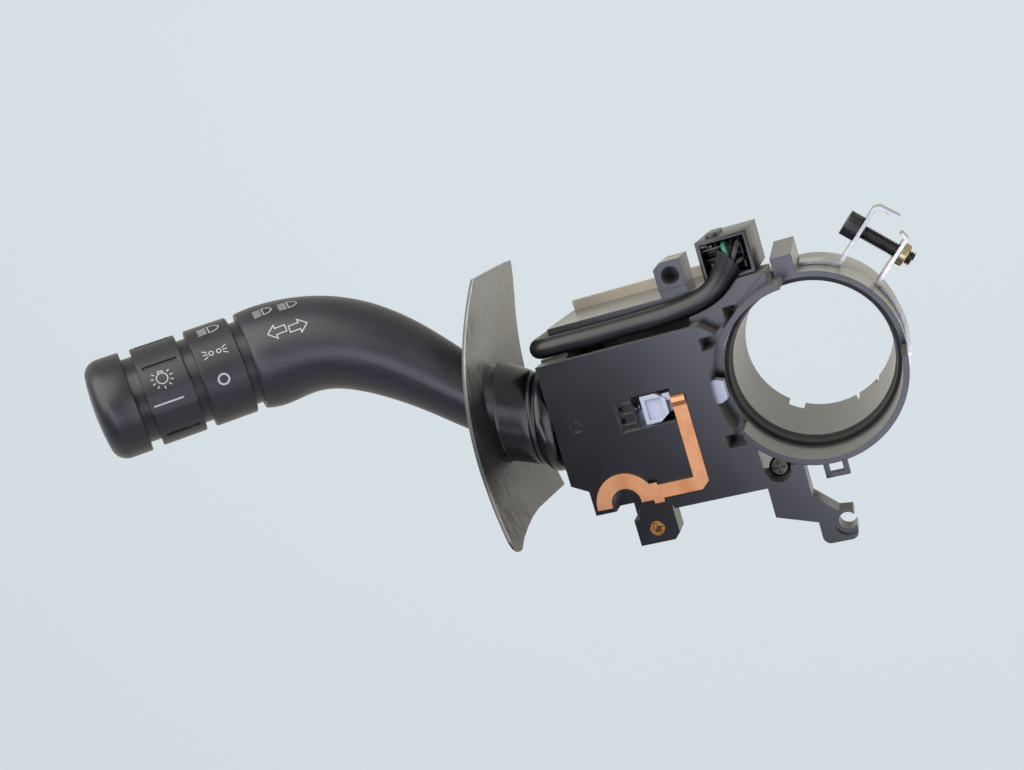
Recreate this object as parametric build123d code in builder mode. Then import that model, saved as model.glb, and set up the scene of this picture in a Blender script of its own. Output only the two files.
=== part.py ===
from build123d import *
import os
from math import cos, sin, radians

os.makedirs("parts", exist_ok=True)

# Steering-column tube and collar (origin on the bore axis, Z = 0 at the collar edge nearest the wheel)
bore_r = 21.0            # clamps on a 42 mm column tube
guide_w = 1.5            # radial width of the guide ring and its seat
cup_wall = 1.5
cup_r = bore_r + guide_w         # inside of the collar cup
tube_r = cup_r + cup_wall        # outside of the clamping tube
mouth_z = -13.7          # where the cup becomes the tube
seat_z = mouth_z - 5.3   # floor of the guide ring seat
tube_end = -54.0
ring_gap = 0.05          # guide ring in its seat

# Switch housing
wall = 2.5
left = -69.5
right = 6.0 - tube_r
top, bottom = 27.0, -27.5
plate_z = -2.0           # front face of the flat plate
plate_in = plate_z - wall
body_back = -40.0
board_t = 2.0
arm_t = 7.0
channel_y = top - 8.4                  # rebate for the harness along the top edge
channel_z = plate_z - 7.0
corner_x = left + 4.3                  # rebate for the harness down the left corner
cavity_right = -tube_r - 3.0

# Band clamp: M4 cap screw, square across the joint at 44 degrees
band_t, band_w, band_back = 1.0, 8.0, -34.0
band_mid_r = tube_r + 0.1 + band_t / 2
band_groove_r = band_mid_r + band_t / 2 + 0.4
clamp_angle = 44.0
ear_a, ear_b = 6.85, 4.3               # ear planes each side of the joint centre
ear_a_out, ear_b_out = tube_r + 17.5, tube_r + 13.9
screw_out = tube_r + 9.8               # screw axis from the bore axis
screw_r, screw_len = 2.0, 16.0
head_r, head_h = 3.5, 4.0
nut_af, nut_h = 7.0, 3.2

# Lever geometry: the turn axis is parallel to Z, the flash axis lies across the lever root
pivot = Vector(-51.0, -9.0, -17.0)
root_dir = Vector(-31.0, 17.7, 7.0).normalized()
dip_dir = Vector(17.7, 31.0, 0.0).normalized()
knob_dir = Vector(-0.82, -0.02, 0.572).normalized()
root_plane = Plane(origin=pivot, x_dir=dip_dir, z_dir=root_dir)
dip_plane = Plane(origin=pivot, x_dir=(0, 0, 1), z_dir=dip_dir)
neck_r = 4.2
socket_s = 36.4          # where the lever root enters the stalk
plug_r, plug_len = 6.6, 4.0
disc_r = 9.0
trunnion_r = 2.5
running = 0.05           # radial clearance of the turning fits
dip_pin_r = 1.75
hub_r, hub_half = 4.8, 7.0

# Knob, measured along its axis from the end of the stalk
knob_r = 13.75
cap_r = knob_r + 0.25
ring_wall = 1.95         # wall of the two outer rings
core_r = knob_r - ring_wall
core_wall = 3.8
core_in_r = core_r - core_wall
symbol_at, symbol_len = 2.7, 11.8
light_at = symbol_at + symbol_len + 2.7
light_len = 12.2
cap_at = light_at + light_len + 3.0
cap_len = 13.1
cap_travel = 2.0
cap_wall = 1.9
core_end = cap_at - 1.4
core_sunk = 8.0
stem_r = 4.0
light_throw = 68.0
index_angle = 262.0
tab_start = 152.0

# Stalk stations: centre and radius
root_end = pivot + root_dir * socket_s
stations = [
    (root_end, 9.2),
    (Vector(-91.6, 15.4, -8.4), 9.4),
    (Vector(-97.5, 21.1, -7.4), 10.0),
    (Vector(-107.1, 30.0, -5.5), 11.4),
    (Vector(-118.8, 38.1, -2.3), 12.6),
    (Vector(-130.9, 41.8, 1.9), 13.6),
    (Vector(-144.9, 42.0, 8.3), knob_r - 0.05),
]
stalk_wall = 2.4
stalk_tip = stations[-1][0]
knob_plane = Plane(origin=stalk_tip, x_dir=(0, 1, 0), z_dir=knob_dir)

# Slot cover: bowed sheet
cover_t = 1.4
cover_arc = [(-77.5, 47.0), (-86.5, 6.0), (-82.0, -25.0)]

# Cancel pawl
pawl_z1 = plate_in - 0.3
pawl_z0 = pawl_z1 - 3.6
pawl_tip_x = 0.2 - cup_r

# Harness
sleeve_r, wire_r = 2.8, 0.7


def station_plane(path, centre):
    """Cross-section plane of the stalk at one of its stations."""
    return Plane(origin=centre, x_dir=(0, 0, 1), z_dir=path.tangent_at(path.param_at_point(centre)))


def ring_sector(inner, outer, start, stop):
    """Sketch of an annular sector from angle start to stop."""
    reach = outer * 1.5
    middle = (start + stop) / 2
    Circle(outer)
    Circle(inner, mode=Mode.SUBTRACT)
    Polygon(
        (0, 0),
        (reach * cos(radians(start)), reach * sin(radians(start))),
        (reach * 1.6 * cos(radians(middle)), reach * 1.6 * sin(radians(middle))),
        (reach * cos(radians(stop)), reach * sin(radians(stop))),
        align=None, mode=Mode.INTERSECT,
    )


# ---------------------------------------------------------------- switch housing
board_screws_at = [(-62.0, 13.5), (-29.6, 21.8), (-29.6, -22.3)]
insert_at = (-49.6, -31.9)
lug_hole_at = (-0.7, -40.6)
boss_at = (-28.6, 32.4)
opening_centre = (1.2, -13.0)

with BuildPart() as switch_housing:
    with BuildSketch(Plane.XY.offset(body_back)):
        with BuildLine():
            Polyline(
                (left, top), (left, -15.5), (-65.0, -18.0), (-65.0, -25.0), (-44.0, -25.0),
                (-43.5, bottom), (right, bottom), (right, top), close=True,
            )
        make_face()
    extrude(amount=plate_z - body_back)
    with BuildSketch(Plane.XY.offset(tube_end)):
        Circle(tube_r)
    extrude(amount=-tube_end)
    # mounting arm and lugs, flush with the plate
    with BuildSketch(Plane.XY.offset(plate_z)):
        with BuildLine():
            Polyline(
                (-18.2, -tube_r), (-18.2, -35.6), (-7.9, -39.2), (-7.9, -45.4), (1.2, -45.4),
                (1.2, -37.8), (-2.2, -37.4), (-7.7, -32.0), (-7.7, 1.6 - tube_r), close=True,
            )
        make_face()
        with BuildLine():
            Polyline(
                (-55.2, -23.0), (-55.2, -35.9), (-45.6, -35.9), (-43.9, -34.2), (-43.9, -23.0),
                close=True,
            )
        make_face()
    extrude(amount=-arm_t)
    # drilled post above the top face
    with BuildSketch(Plane.XY.offset(-8.0)):
        with BuildLine():
            Polyline(
                (-32.6, top - 1), (-32.6, 34.8), (-30.6, 36.3), (-25.2, 36.3), (-25.2, top - 1),
                close=True,
            )
        make_face()
    extrude(amount=-14.0)
    # saddle under the connector
    with BuildSketch(Plane.XY.offset(-8.0)):
        with Locations((-13.0, 23.75)):
            Rectangle(16.0, 6.5)
    extrude(amount=-16.0)
    # hook lug that traps the band, with a rising back
    with BuildSketch(Plane.YZ.offset(-3.6)):
        with BuildLine():
            Polyline(
                (tube_r - 2.2, mouth_z), (tube_r + 5.0, mouth_z), (tube_r + 7.2, band_back - 2),
                (tube_r - 2.2, band_back - 2),
                close=True,
            )
        make_face()
    extrude(amount=5.6)
    # cable loop under the collar
    with BuildSketch(Plane.XY.offset(-15.0)):
        with Locations((-1.2, -tube_r - 3.4)):
            Rectangle(6.4, 9.0)
            Rectangle(3.6, 6.4, mode=Mode.SUBTRACT)
    extrude(amount=-2.0)
    fillet(switch_housing.edges().filter_by(Axis.Z).group_by(Axis.Y)[0], 2.0)
    # main cavity, open at the back
    with BuildSketch(Plane.XY.offset(body_back)):
        with BuildLine():
            Polyline(
                (left + wall, 16.0), (left + wall, -14.6), (-62.5, -17.0), (-62.5, -18.6),
                (-52.0, -18.6), (-49.0, -22.5), (-41.0, bottom + wall), (cavity_right, bottom + wall),
                (cavity_right, top - wall), (-61.5, top - wall), (-61.5, 16.0), close=True,
            )
        make_face()
    extrude(amount=plate_in - body_back, mode=Mode.SUBTRACT)
    # deeper corner for the carrier's lower cheek
    with BuildSketch(Plane.XY.offset(body_back)):
        with Locations((-55.5, -19.4)):
            Rectangle(14.0, 6.2)
    extrude(amount=-9.2 - body_back, mode=Mode.SUBTRACT)
    # screw posts for the terminal board
    with BuildSketch(Plane.XY.offset(body_back)):
        with Locations(*board_screws_at):
            Circle(3.0)
    extrude(amount=12.0)
    with BuildSketch(Plane.XY.offset(body_back)):
        with Locations(*board_screws_at):
            Circle(1.25)
    extrude(amount=9.0, mode=Mode.SUBTRACT)
    # bearing boss of the turn axis under the plate
    with BuildSketch(Plane.XY.offset(plate_in)):
        with Locations((pivot.X, pivot.Y)):
            Circle(4.6)
    extrude(amount=-3.9)
    with BuildSketch(Plane.XY.offset(plate_in - 3.9)):
        with Locations((pivot.X, pivot.Y)):
            Circle(trunnion_r + running)
    extrude(amount=4.4, mode=Mode.SUBTRACT)
    # lever opening in the left wall
    with BuildSketch(Plane.YZ.offset(left - 1)):
        with Locations(opening_centre):
            RectangleRounded(23.0, 16.6, 8.0)
    extrude(amount=wall + 2, mode=Mode.SUBTRACT)
    # rebates for the harness
    with BuildSketch(Plane.XY.offset(channel_z)):
        with BuildLine():
            Polyline(
                (left - 1, channel_y), (-24.5, channel_y), (-20.5, 15.2), (-5.0, 27.0), (-5.0, top + 2),
                (left - 1, top + 2), close=True,
            )
        make_face()
    extrude(amount=20.0, mode=Mode.SUBTRACT)
    with BuildSketch(Plane.XY.offset(body_back - 1)):
        with Locations(((left - 1 + corner_x) / 2, (19.2 + top + 1) / 2)):
            Rectangle(corner_x - left + 1, top + 1 - 19.2)
    extrude(amount=40.0, mode=Mode.SUBTRACT)
    # column bore and collar cup
    with BuildSketch(Plane.XY):
        Circle(cup_r)
    extrude(amount=seat_z, mode=Mode.SUBTRACT)
    with BuildSketch(Plane.XY.offset(seat_z)):
        Circle(bore_r)
    extrude(amount=tube_end - seat_z, mode=Mode.SUBTRACT)
    # the cup wall is left off beside the hook and the clamp
    with BuildSketch(Plane.XY.offset(1.0)):
        ring_sector(bore_r, tube_r + 0.6, -3.0, 94.0)
    extrude(amount=mouth_z - 1.0, mode=Mode.SUBTRACT)
    # window for the cancel pawl, with its two end pockets
    with BuildSketch(Plane.XY.offset(1.0)):
        ring_sector(bore_r, tube_r + 1.3, 150.0, 208.0)
        with Locations((1.4 - tube_r, 13.4)):
            Rectangle(4.6, 3.4)
        with Locations((1.2 - tube_r, -13.2)):
            Rectangle(4.8, 3.6)
    extrude(amount=mouth_z + 1.0, mode=Mode.SUBTRACT)
    with BuildSketch(Plane.YZ.offset(-bore_r)):
        with Locations((0.0, (pawl_z0 + pawl_z1) / 2)):
            Rectangle(7.6, pawl_z1 - pawl_z0 + 0.8)
    extrude(amount=-8.0, mode=Mode.SUBTRACT)
    # groove that lets the band pass right round the tube
    with BuildSketch(Plane.XY.offset(band_back - 0.6)):
        Circle(band_groove_r)
        Circle(tube_r, mode=Mode.SUBTRACT)
    extrude(amount=band_w + 1.2, mode=Mode.SUBTRACT)
    # notches at the far end of the tube
    with BuildSketch(Plane.XY.offset(tube_end)):
        with PolarLocations(tube_r, 1, start_angle=239.1):
            Rectangle(9.0, 4.6)
        with PolarLocations(tube_r, 2, start_angle=287.7, angular_range=40.8):
            Rectangle(8.0, 1.2)
    extrude(amount=7.0, mode=Mode.SUBTRACT)
    # slot over the pawl: shallow left part with a ribbed floor, open right part
    with BuildSketch(Plane.XY.offset(plate_z)):
        with Locations((-43.8, 0.1)):
            Rectangle(15.4, 8.8)
    extrude(amount=-1.4, mode=Mode.SUBTRACT)
    with BuildSketch(Plane.XY.offset(plate_z)):
        with Locations((-41.6, 0.1)):
            Rectangle(11.0, 8.8)
    extrude(amount=-4.0, mode=Mode.SUBTRACT)
    with BuildSketch(Plane.XY.offset(plate_z - 1.4)):
        with Locations((-48.6, 2.9), (-48.6, 0.0), (-48.6, -2.9)):
            Rectangle(2.8, 0.7)
    extrude(amount=0.6)
    with BuildSketch(Plane.XY.offset(plate_z)):
        with Locations((-50.6, 1.5), (-50.6, -1.6)):
            Rectangle(1.4, 1.6)
    extrude(amount=-4.0, mode=Mode.SUBTRACT)
    # seat of the pawl spring
    with BuildSketch(Plane.XY.offset(plate_in + 0.1)):
        with Locations((-53.9, 0.6)):
            Rectangle(1.4, 5.0)
    extrude(amount=-4.2)
    # bed and tab slots of the contact strip, and the round recess inside its hook
    with BuildSketch(Plane.XY.offset(plate_z)):
        with Locations((-55.6, -23.2)):
            Circle(3.9)
        with Locations((-55.6, -26.0)):
            Rectangle(4.4, 5.0)
    extrude(amount=-5.0, mode=Mode.SUBTRACT)
    with BuildSketch(Plane.XY.offset(plate_z)):
        with Locations((-47.2, -19.0), (-46.6, -24.4)):
            Rectangle(2.6, 1.5)
    extrude(amount=-1.6, mode=Mode.SUBTRACT)
    # ejector dimple
    with BuildSketch(Plane.XY.offset(plate_z)):
        with Locations((-62.9, 0.5)):
            Circle(1.8)
            Circle(1.1, mode=Mode.SUBTRACT)
    extrude(amount=-0.8, mode=Mode.SUBTRACT)
    # recessed plate screw hole
    with Locations((-14.3, -23.5, plate_z)):
        CounterBoreHole(radius=1.3, counter_bore_radius=3.2, counter_bore_depth=5.5, depth=16.0)
    # insert, arm and post holes
    with Locations((insert_at[0], insert_at[1], plate_z)):
        Hole(radius=2.0, depth=arm_t)
    with Locations((lug_hole_at[0], lug_hole_at[1], plate_z)):
        CounterBoreHole(radius=2.3, counter_bore_radius=3.7, counter_bore_depth=1.2, depth=arm_t)
    with Locations((boss_at[0], boss_at[1], -8.0)):
        Hole(radius=2.4, depth=12.0)
switch_housing.part.label = "switch_housing"
export_step(switch_housing.part, "parts/switch_housing.step")

# ---------------------------------------------------------------- guide ring in the tube mouth
with BuildPart() as guide_ring:
    with BuildSketch(Plane.XZ):
        with BuildLine():
            Polyline(
                (cup_r - ring_gap, mouth_z), (cup_r - ring_gap, seat_z), (bore_r + 0.1, seat_z),
                (bore_r + 0.1, seat_z + 0.8), (bore_r + 0.4, seat_z + 2.6), (cup_r - 0.9, mouth_z), close=True,
            )
        make_face()
    revolve(axis=Axis.Z)
guide_ring.part.label = "guide_ring"
export_step(guide_ring.part, "parts/guide_ring.step")

# ---------------------------------------------------------------- band clamp
joint_x = (cos(radians(clamp_angle)), sin(radians(clamp_angle)), 0)
band_plane = Plane(origin=(0, 0, band_back), x_dir=joint_x, z_dir=(0, 0, 1))
screw_plane = Plane(
    origin=(screw_out * joint_x[0], screw_out * joint_x[1], band_back + band_w / 2),
    x_dir=(0, 0, 1), z_dir=(-joint_x[1], joint_x[0], 0),
)
foot_a = (band_mid_r**2 - ear_a**2) ** 0.5
foot_b = (band_mid_r**2 - ear_b**2) ** 0.5
with BuildPart() as clamp_band:
    with BuildSketch(band_plane):
        with BuildLine():
            ear_one = Line((foot_a, ear_a), (ear_a_out - 1.0, ear_a))
            Line(ear_one @ 1, (ear_a_out, ear_a - 1.0))
            Line((ear_a_out, ear_a - 1.0), (ear_a_out + 0.3, ear_a - 6.6))
        trace(line_width=band_t)
        with BuildLine():
            Polyline((foot_b, -ear_b), (ear_b_out, -ear_b), (ear_b_out + 0.6, -ear_b + 1.9))
        trace(line_width=band_t)
        with BuildLine():
            ThreePointArc((foot_a, ear_a), (-band_mid_r, 0), (foot_b, -ear_b))
        trace(line_width=band_t)
    extrude(amount=band_w)
    with BuildSketch(screw_plane):
        Circle(screw_r + 0.2)
    extrude(amount=ear_a + ear_b, both=True, mode=Mode.SUBTRACT)
clamp_band.part.label = "clamp_band"
export_step(clamp_band.part, "parts/clamp_band.step")

with BuildPart() as clamp_screw:
    with BuildSketch(screw_plane.offset(ear_a + band_t / 2)):
        Circle(head_r)
    extrude(amount=head_h)
    chamfer(clamp_screw.edges().filter_by(GeomType.CIRCLE), 0.3)
    with BuildSketch(screw_plane.offset(ear_a + band_t / 2)):
        Circle(screw_r)
    extrude(amount=-screw_len)
    with BuildSketch(screw_plane.offset(ear_a + band_t / 2 + head_h)):
        RegularPolygon(radius=1.5, side_count=6, major_radius=False)
    extrude(amount=-2.4, mode=Mode.SUBTRACT)
clamp_screw.part.label = "clamp_screw"
export_step(clamp_screw.part, "parts/clamp_screw.step")

with BuildPart() as clamp_nut:
    with BuildSketch(screw_plane.offset(-ear_b - band_t / 2)):
        RegularPolygon(radius=nut_af / 2, side_count=6, major_radius=False)
        Circle(screw_r + 0.03, mode=Mode.SUBTRACT)
    extrude(amount=-nut_h)
clamp_nut.part.label = "clamp_nut"
export_step(clamp_nut.part, "parts/clamp_nut.step")

# ---------------------------------------------------------------- small fixed metal parts
with BuildPart() as brass_insert:
    with BuildSketch(Plane.XY.offset(plate_z)):
        with Locations(insert_at):
            Circle(2.0 - 0.02)
            Circle(1.25, mode=Mode.SUBTRACT)
    extrude(amount=-arm_t + 1.0)
brass_insert.part.label = "brass_insert"
export_step(brass_insert.part, "parts/brass_insert.step")

with BuildPart() as plate_screw:
    with BuildSketch(Plane.XY.offset(plate_z - 5.5)):
        with Locations((-14.3, -23.5)):
            Circle(2.7)
    extrude(amount=1.9)
    fillet(plate_screw.edges().group_by(Axis.Z)[-1], 0.8)
    with BuildSketch(Plane.XY.offset(plate_z - 3.6)):
        with Locations((-14.3, -23.5)):
            Rectangle(3.2, 0.7)
            Rectangle(0.7, 3.2)
    extrude(amount=-1.0, mode=Mode.SUBTRACT)
    with BuildSketch(Plane.XY.offset(plate_z - 5.5)):
        with Locations((-14.3, -23.5)):
            Circle(1.27)
    extrude(amount=-8.0)
plate_screw.part.label = "plate_screw"
export_step(plate_screw.part, "parts/plate_screw.step")

# copper contact strip: hook, tabbed neck, long limb and a finger bent over the pawl
strip_t = 0.7
with BuildPart() as contact_strip:
    with BuildSketch(Plane.XY.offset(plate_z)):
        with BuildLine():
            Polyline(
                (-50.2, -23.8), (-48.2, -23.8), (-48.0, -24.9), (-45.4, -24.9), (-45.2, -23.8),
                (-34.6, -23.8), (-32.4, -21.8), (-32.4, 0.2), (-36.1, 0.2), (-36.1, -20.1),
                (-46.0, -20.1), (-46.2, -19.3), (-48.4, -19.3), (-48.6, -20.3), (-50.2, -19.4), close=True,
            )
        make_face()
    extrude(amount=strip_t)
    with BuildSketch(Plane.XY.offset(plate_z)):
        with Locations((-55.6, -23.2)):
            Circle(8.3)
            Circle(4.1, mode=Mode.SUBTRACT)
        with BuildLine():
            Polyline((-65.0, -23.6), (-65.0, -12.0), (-46.0, -12.0), (-46.0, -23.8), (-55.6, -23.8), close=True)
        make_face(mode=Mode.INTERSECT)
    extrude(amount=strip_t)
    with BuildSketch(Plane.YZ.offset(-36.1)):
        with BuildLine():
            Polyline(
                (-0.4, plate_z), (-0.4, plate_z + strip_t), (0.9, plate_z + 1.5), (2.0, plate_z + 1.3),
                (2.5, plate_z + 0.5), (1.9, plate_z + 0.5), (1.1, plate_z + 0.8), (0.2, plate_z), close=True,
            )
        make_face()
    extrude(amount=3.7)
contact_strip.part.label = "contact_strip"
export_step(contact_strip.part, "parts/contact_strip.step")

# ---------------------------------------------------------------- terminal board and its metal
contacts_at = [(-37.0, -15.2), (-35.4, -9.0), (-37.0, -2.8), (-60.5, -4.0)]
with BuildPart() as terminal_board:
    with BuildSketch(Plane.XY.offset(body_back - board_t)):
        with BuildLine():
            Polyline(
                (-64.6, 18.6), (-68.6, 18.6), (-68.6, -14.8), (-64.2, -17.4), (-64.2, -24.2), (-43.0, -24.2),
                (-42.6, -26.6), (1.4 - tube_r, -26.6), (1.4 - tube_r, -14.0), (-2.2 - tube_r, -9.0),
                (-2.2 - tube_r, 9.0), (1.4 - tube_r, 14.0), (1.4 - tube_r, top + 1.2), (-25.6, top + 2.8),
                (-64.6, top + 2.8), close=True,
            )
        make_face()
        with Locations(*board_screws_at):
            Circle(1.6, mode=Mode.SUBTRACT)
        with Locations((pivot.X, pivot.Y)):
            Circle(trunnion_r + running, mode=Mode.SUBTRACT)
        with Locations(*contacts_at):
            Circle(0.9, mode=Mode.SUBTRACT)
    extrude(amount=board_t)
terminal_board.part.label = "terminal_board"
export_step(terminal_board.part, "parts/terminal_board.step")

with BuildPart() as fixed_contacts:
    with BuildSketch(Plane.XY.offset(body_back - board_t)):
        with Locations(*contacts_at):
            Circle(0.88)
    extrude(amount=board_t)
    with BuildSketch(Plane.XY.offset(body_back)):
        with Locations(*contacts_at):
            Circle(2.0)
    extrude(amount=0.6)
    with BuildSketch(Plane.XY.offset(body_back - board_t)):
        with Locations(*contacts_at):
            Circle(1.6)
    extrude(amount=-0.8)
fixed_contacts.part.label = "fixed_contacts"
export_step(fixed_contacts.part, "parts/fixed_contacts.step")

with BuildPart() as board_screws:
    with BuildSketch(Plane.XY.offset(body_back - board_t)):
        with Locations(*board_screws_at):
            Circle(2.6)
    extrude(amount=-1.6)
    with BuildSketch(Plane.XY.offset(body_back - board_t - 1.6)):
        with Locations(*board_screws_at):
            Rectangle(3.0, 0.6)
            Rectangle(0.6, 3.0)
    extrude(amount=0.9, mode=Mode.SUBTRACT)
    with BuildSketch(Plane.XY.offset(body_back - board_t)):
        with Locations(*board_screws_at):
            Circle(1.22)
    extrude(amount=8.0)
board_screws.part.label = "board_screws"
export_step(board_screws.part, "parts/board_screws.step")

# ---------------------------------------------------------------- wiring connector
with BuildPart() as connector_housing:
    with BuildSketch(Plane.XY.offset(-37.0)):
        with Locations((-13.0, 33.9)):
            Rectangle(15.0, 13.2)
    extrude(amount=28.0)
    with BuildSketch(Plane.XY.offset(-37.0)):
        with Locations((-13.0, 33.9)):
            Rectangle(12.4, 10.8)
    extrude(amount=12.0, mode=Mode.SUBTRACT)
    with BuildSketch(Plane.XY.offset(-9.0)):
        with Locations((-13.4, 33.9)):
            Rectangle(11.4, 10.8)
    extrude(amount=-6.0, mode=Mode.SUBTRACT)
    with BuildSketch(Plane.XY.offset(-9.0)):
        with Locations((-6.3, 33.9)):
            Rectangle(0.5, 12.0)
    extrude(amount=-1.2, mode=Mode.SUBTRACT)
    with BuildSketch(Plane.XY.offset(-15.0)):
        with GridLocations(4.0, 5.0, 3, 2):
            with Locations((-13.4, 33.9)):
                Rectangle(2.0, 2.4)
    extrude(amount=-10.0, mode=Mode.SUBTRACT)
    with BuildSketch(Plane.XY.offset(-15.0)):
        with Locations((-17.4, 40.5)):
            Rectangle(3.0, 1.6)
    extrude(amount=-14.0)
connector_housing.part.label = "connector_housing"
export_step(connector_housing.part, "parts/connector_housing.step")

with BuildPart() as connector_terminals:
    with BuildSketch(Plane.XY.offset(-12.0)):
        with GridLocations(4.0, 5.0, 3, 2):
            with Locations((-13.4, 33.9)):
                Rectangle(1.4, 0.8)
    extrude(amount=-19.0)
connector_terminals.part.label = "connector_terminals"
export_step(connector_terminals.part, "parts/connector_terminals.step")

# ---------------------------------------------------------------- harness
sleeve_start = (-68.5, 22.7, -38.0)
sleeve_stop = (-12.3, 31.6, -5.4)
with BuildPart() as harness_sleeve:
    with BuildLine() as sleeve_path:
        FilletPolyline(
            sleeve_start, (-68.5, 22.7, -5.4), (-33.0, 22.7, -5.4), (-19.5, 24.8, -5.4), sleeve_stop,
            radius=5.0,
        )
    with BuildSketch(Plane(origin=sleeve_start, z_dir=(0, 0, 1))):
        Circle(sleeve_r)
    sweep()
harness_sleeve.part.label = "harness_sleeve"
export_step(harness_sleeve.part, "parts/harness_sleeve.step")

wire_paths = [
    [(-12.05, 31.84, -4.1), (-11.3, 32.6, -4.1), (-9.4, 36.4, -11.6)],
    [(-11.16, 30.9, -5.4), (-10.4, 31.6, -5.4), (-9.4, 31.4, -11.6)],
    [(-12.94, 32.78, -5.4), (-12.3, 33.4, -5.4), (-13.4, 36.4, -11.6)],
    [(-12.05, 31.84, -6.7), (-11.6, 32.4, -7.2), (-13.4, 31.4, -11.6)],
    [(-67.6, 22.7, -38.3), (-66.6, 21.6, -43.6), (-60.5, 8.0, -43.7), (-60.5, -2.2, -43.7)],
    [(-69.4, 22.7, -38.3), (-66.8, 22.9, -45.4), (-44.0, 12.0, -45.4), (-37.0, -0.8, -43.7)],
]
sleeve_end_dir = (7.2, 6.8, 0)
with BuildPart() as harness_wires:
    for route in wire_paths:
        start_dir = sleeve_end_dir if route[0][2] > -20 else (0, 0, -1)
        with BuildLine() as wire_path:
            Spline(*route, tangents=[start_dir, tuple(b - a for a, b in zip(route[-2], route[-1]))])
        with BuildSketch(Plane(origin=route[0], z_dir=start_dir)):
            Circle(wire_r)
        sweep(path=wire_path.line)
harness_wires.part.label = "harness_wires"
export_step(harness_wires.part, "parts/harness_wires.step")

# ---------------------------------------------------------------- turn carrier and its pivots
cheek_in = hub_half + 0.4
with BuildPart() as turn_carrier:
    with BuildSketch(Plane.XY.offset(-9.2)):
        with Locations(Location((pivot.X, pivot.Y), 60.3)):
            Rectangle(2 * cheek_in + 4.4, 9.6)
    extrude(amount=-1.6)
    with BuildSketch(Plane.XY.offset(-26.8)):
        with Locations((pivot.X, pivot.Y)):
            Circle(disc_r)
    extrude(amount=3.0)
    with BuildSketch(Plane.XY.offset(-26.8)):
        with Locations(Location((pivot.X, pivot.Y), 60.3)):
            with Locations((cheek_in + 1.1, 0), (-cheek_in - 1.1, 0)):
                Rectangle(2.2, 9.6)
    extrude(amount=17.6)
    # trunnions
    with BuildSketch(Plane.XY.offset(-9.3)):
        with Locations((pivot.X, pivot.Y)):
            Circle(trunnion_r)
    extrude(amount=4.6)
    with BuildSketch(Plane.XY.offset(-26.7)):
        with Locations((pivot.X, pivot.Y)):
            Circle(trunnion_r)
    extrude(amount=body_back - board_t + 0.4 + 26.7)
    # contact arm and detent nose
    with BuildSketch(Plane.XY.offset(-26.8)):
        with Locations((-43.6, -9.0)):
            Rectangle(12.0, 12.0)
        with Locations((-37.6, -9.0)):
            Circle(2.0)
    extrude(amount=3.0)
    with BuildSketch(Plane.XY.offset(-26.8)):
        with Locations((-39.6, -9.0)):
            Rectangle(4.0, 12.0)
    extrude(amount=body_back + 1.8 + 26.8)
    with BuildSketch(dip_plane):
        Circle(dip_pin_r)
    extrude(amount=20.0, both=True, mode=Mode.SUBTRACT)
turn_carrier.part.label = "turn_carrier"
export_step(turn_carrier.part, "parts/turn_carrier.step")

with BuildPart() as turn_wiper:
    with BuildSketch(Plane.XY.offset(body_back + 1.2)):
        with Locations((-39.6, -9.0)):
            Rectangle(5.0, 11.0)
    extrude(amount=0.55)
    with BuildSketch(Plane.XY.offset(body_back + 0.9)):
        with Locations((-38.0, -12.4), (-38.0, -5.6)):
            Circle(1.2)
    extrude(amount=0.4)
turn_wiper.part.label = "turn_wiper"
export_step(turn_wiper.part, "parts/turn_wiper.step")

with BuildPart() as dip_pin:
    with BuildSketch(dip_plane):
        Circle(dip_pin_r)
    extrude(amount=cheek_in + 2.2, both=True)
dip_pin.part.label = "dip_pin"
export_step(dip_pin.part, "parts/dip_pin.step")

with BuildPart() as detent_spring:
    with BuildSketch(Plane.XY.offset(-26.4)):
        with BuildLine():
            Polyline(
                (cavity_right - 0.3, -18.6), (-33.6, -18.0), (-35.5, -13.2), (-34.8, -9.0), (-35.5, -4.8),
                (-33.6, 0.0), (cavity_right - 0.3, 0.6),
            )
        trace(line_width=0.4)
    extrude(amount=5.0)
detent_spring.part.label = "detent_spring"
export_step(detent_spring.part, "parts/detent_spring.step")

# ---------------------------------------------------------------- lever root
with BuildPart() as lever_root:
    with BuildSketch(dip_plane.offset(-hub_half)):
        Circle(hub_r)
    extrude(amount=2 * hub_half)
    with BuildSketch(root_plane):
        Circle(neck_r)
    extrude(amount=socket_s - 2)
    with BuildSketch(root_plane.offset(socket_s - 2)):
        Circle(9.0)
    extrude(amount=2.0)
    with BuildSketch(root_plane.offset(socket_s)):
        Circle(plug_r)
    extrude(amount=plug_len)
    with BuildSketch(dip_plane.offset(-hub_half)):
        Circle(dip_pin_r + running)
    extrude(amount=2 * hub_half, mode=Mode.SUBTRACT)
lever_root.part.label = "lever_root"
export_step(lever_root.part, "parts/lever_root.step")

# ---------------------------------------------------------------- stalk
stalk_path = Spline(*[centre for centre, radius in stations], tangents=[root_dir, knob_dir])
with BuildPart() as stalk_body:
    for centre, radius in stations:
        with BuildSketch(station_plane(stalk_path, centre)):
            Circle(radius)
    loft()
    for centre, radius in stations:
        with BuildSketch(station_plane(stalk_path, centre)):
            Circle(radius - stalk_wall)
    loft(mode=Mode.SUBTRACT)
    with BuildSketch(knob_plane):
        Circle(core_r + 0.05)
    extrude(amount=-core_sunk, mode=Mode.SUBTRACT)
stalk_body.part.label = "stalk_body"
export_step(stalk_body.part, "parts/stalk_body.step")

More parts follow.
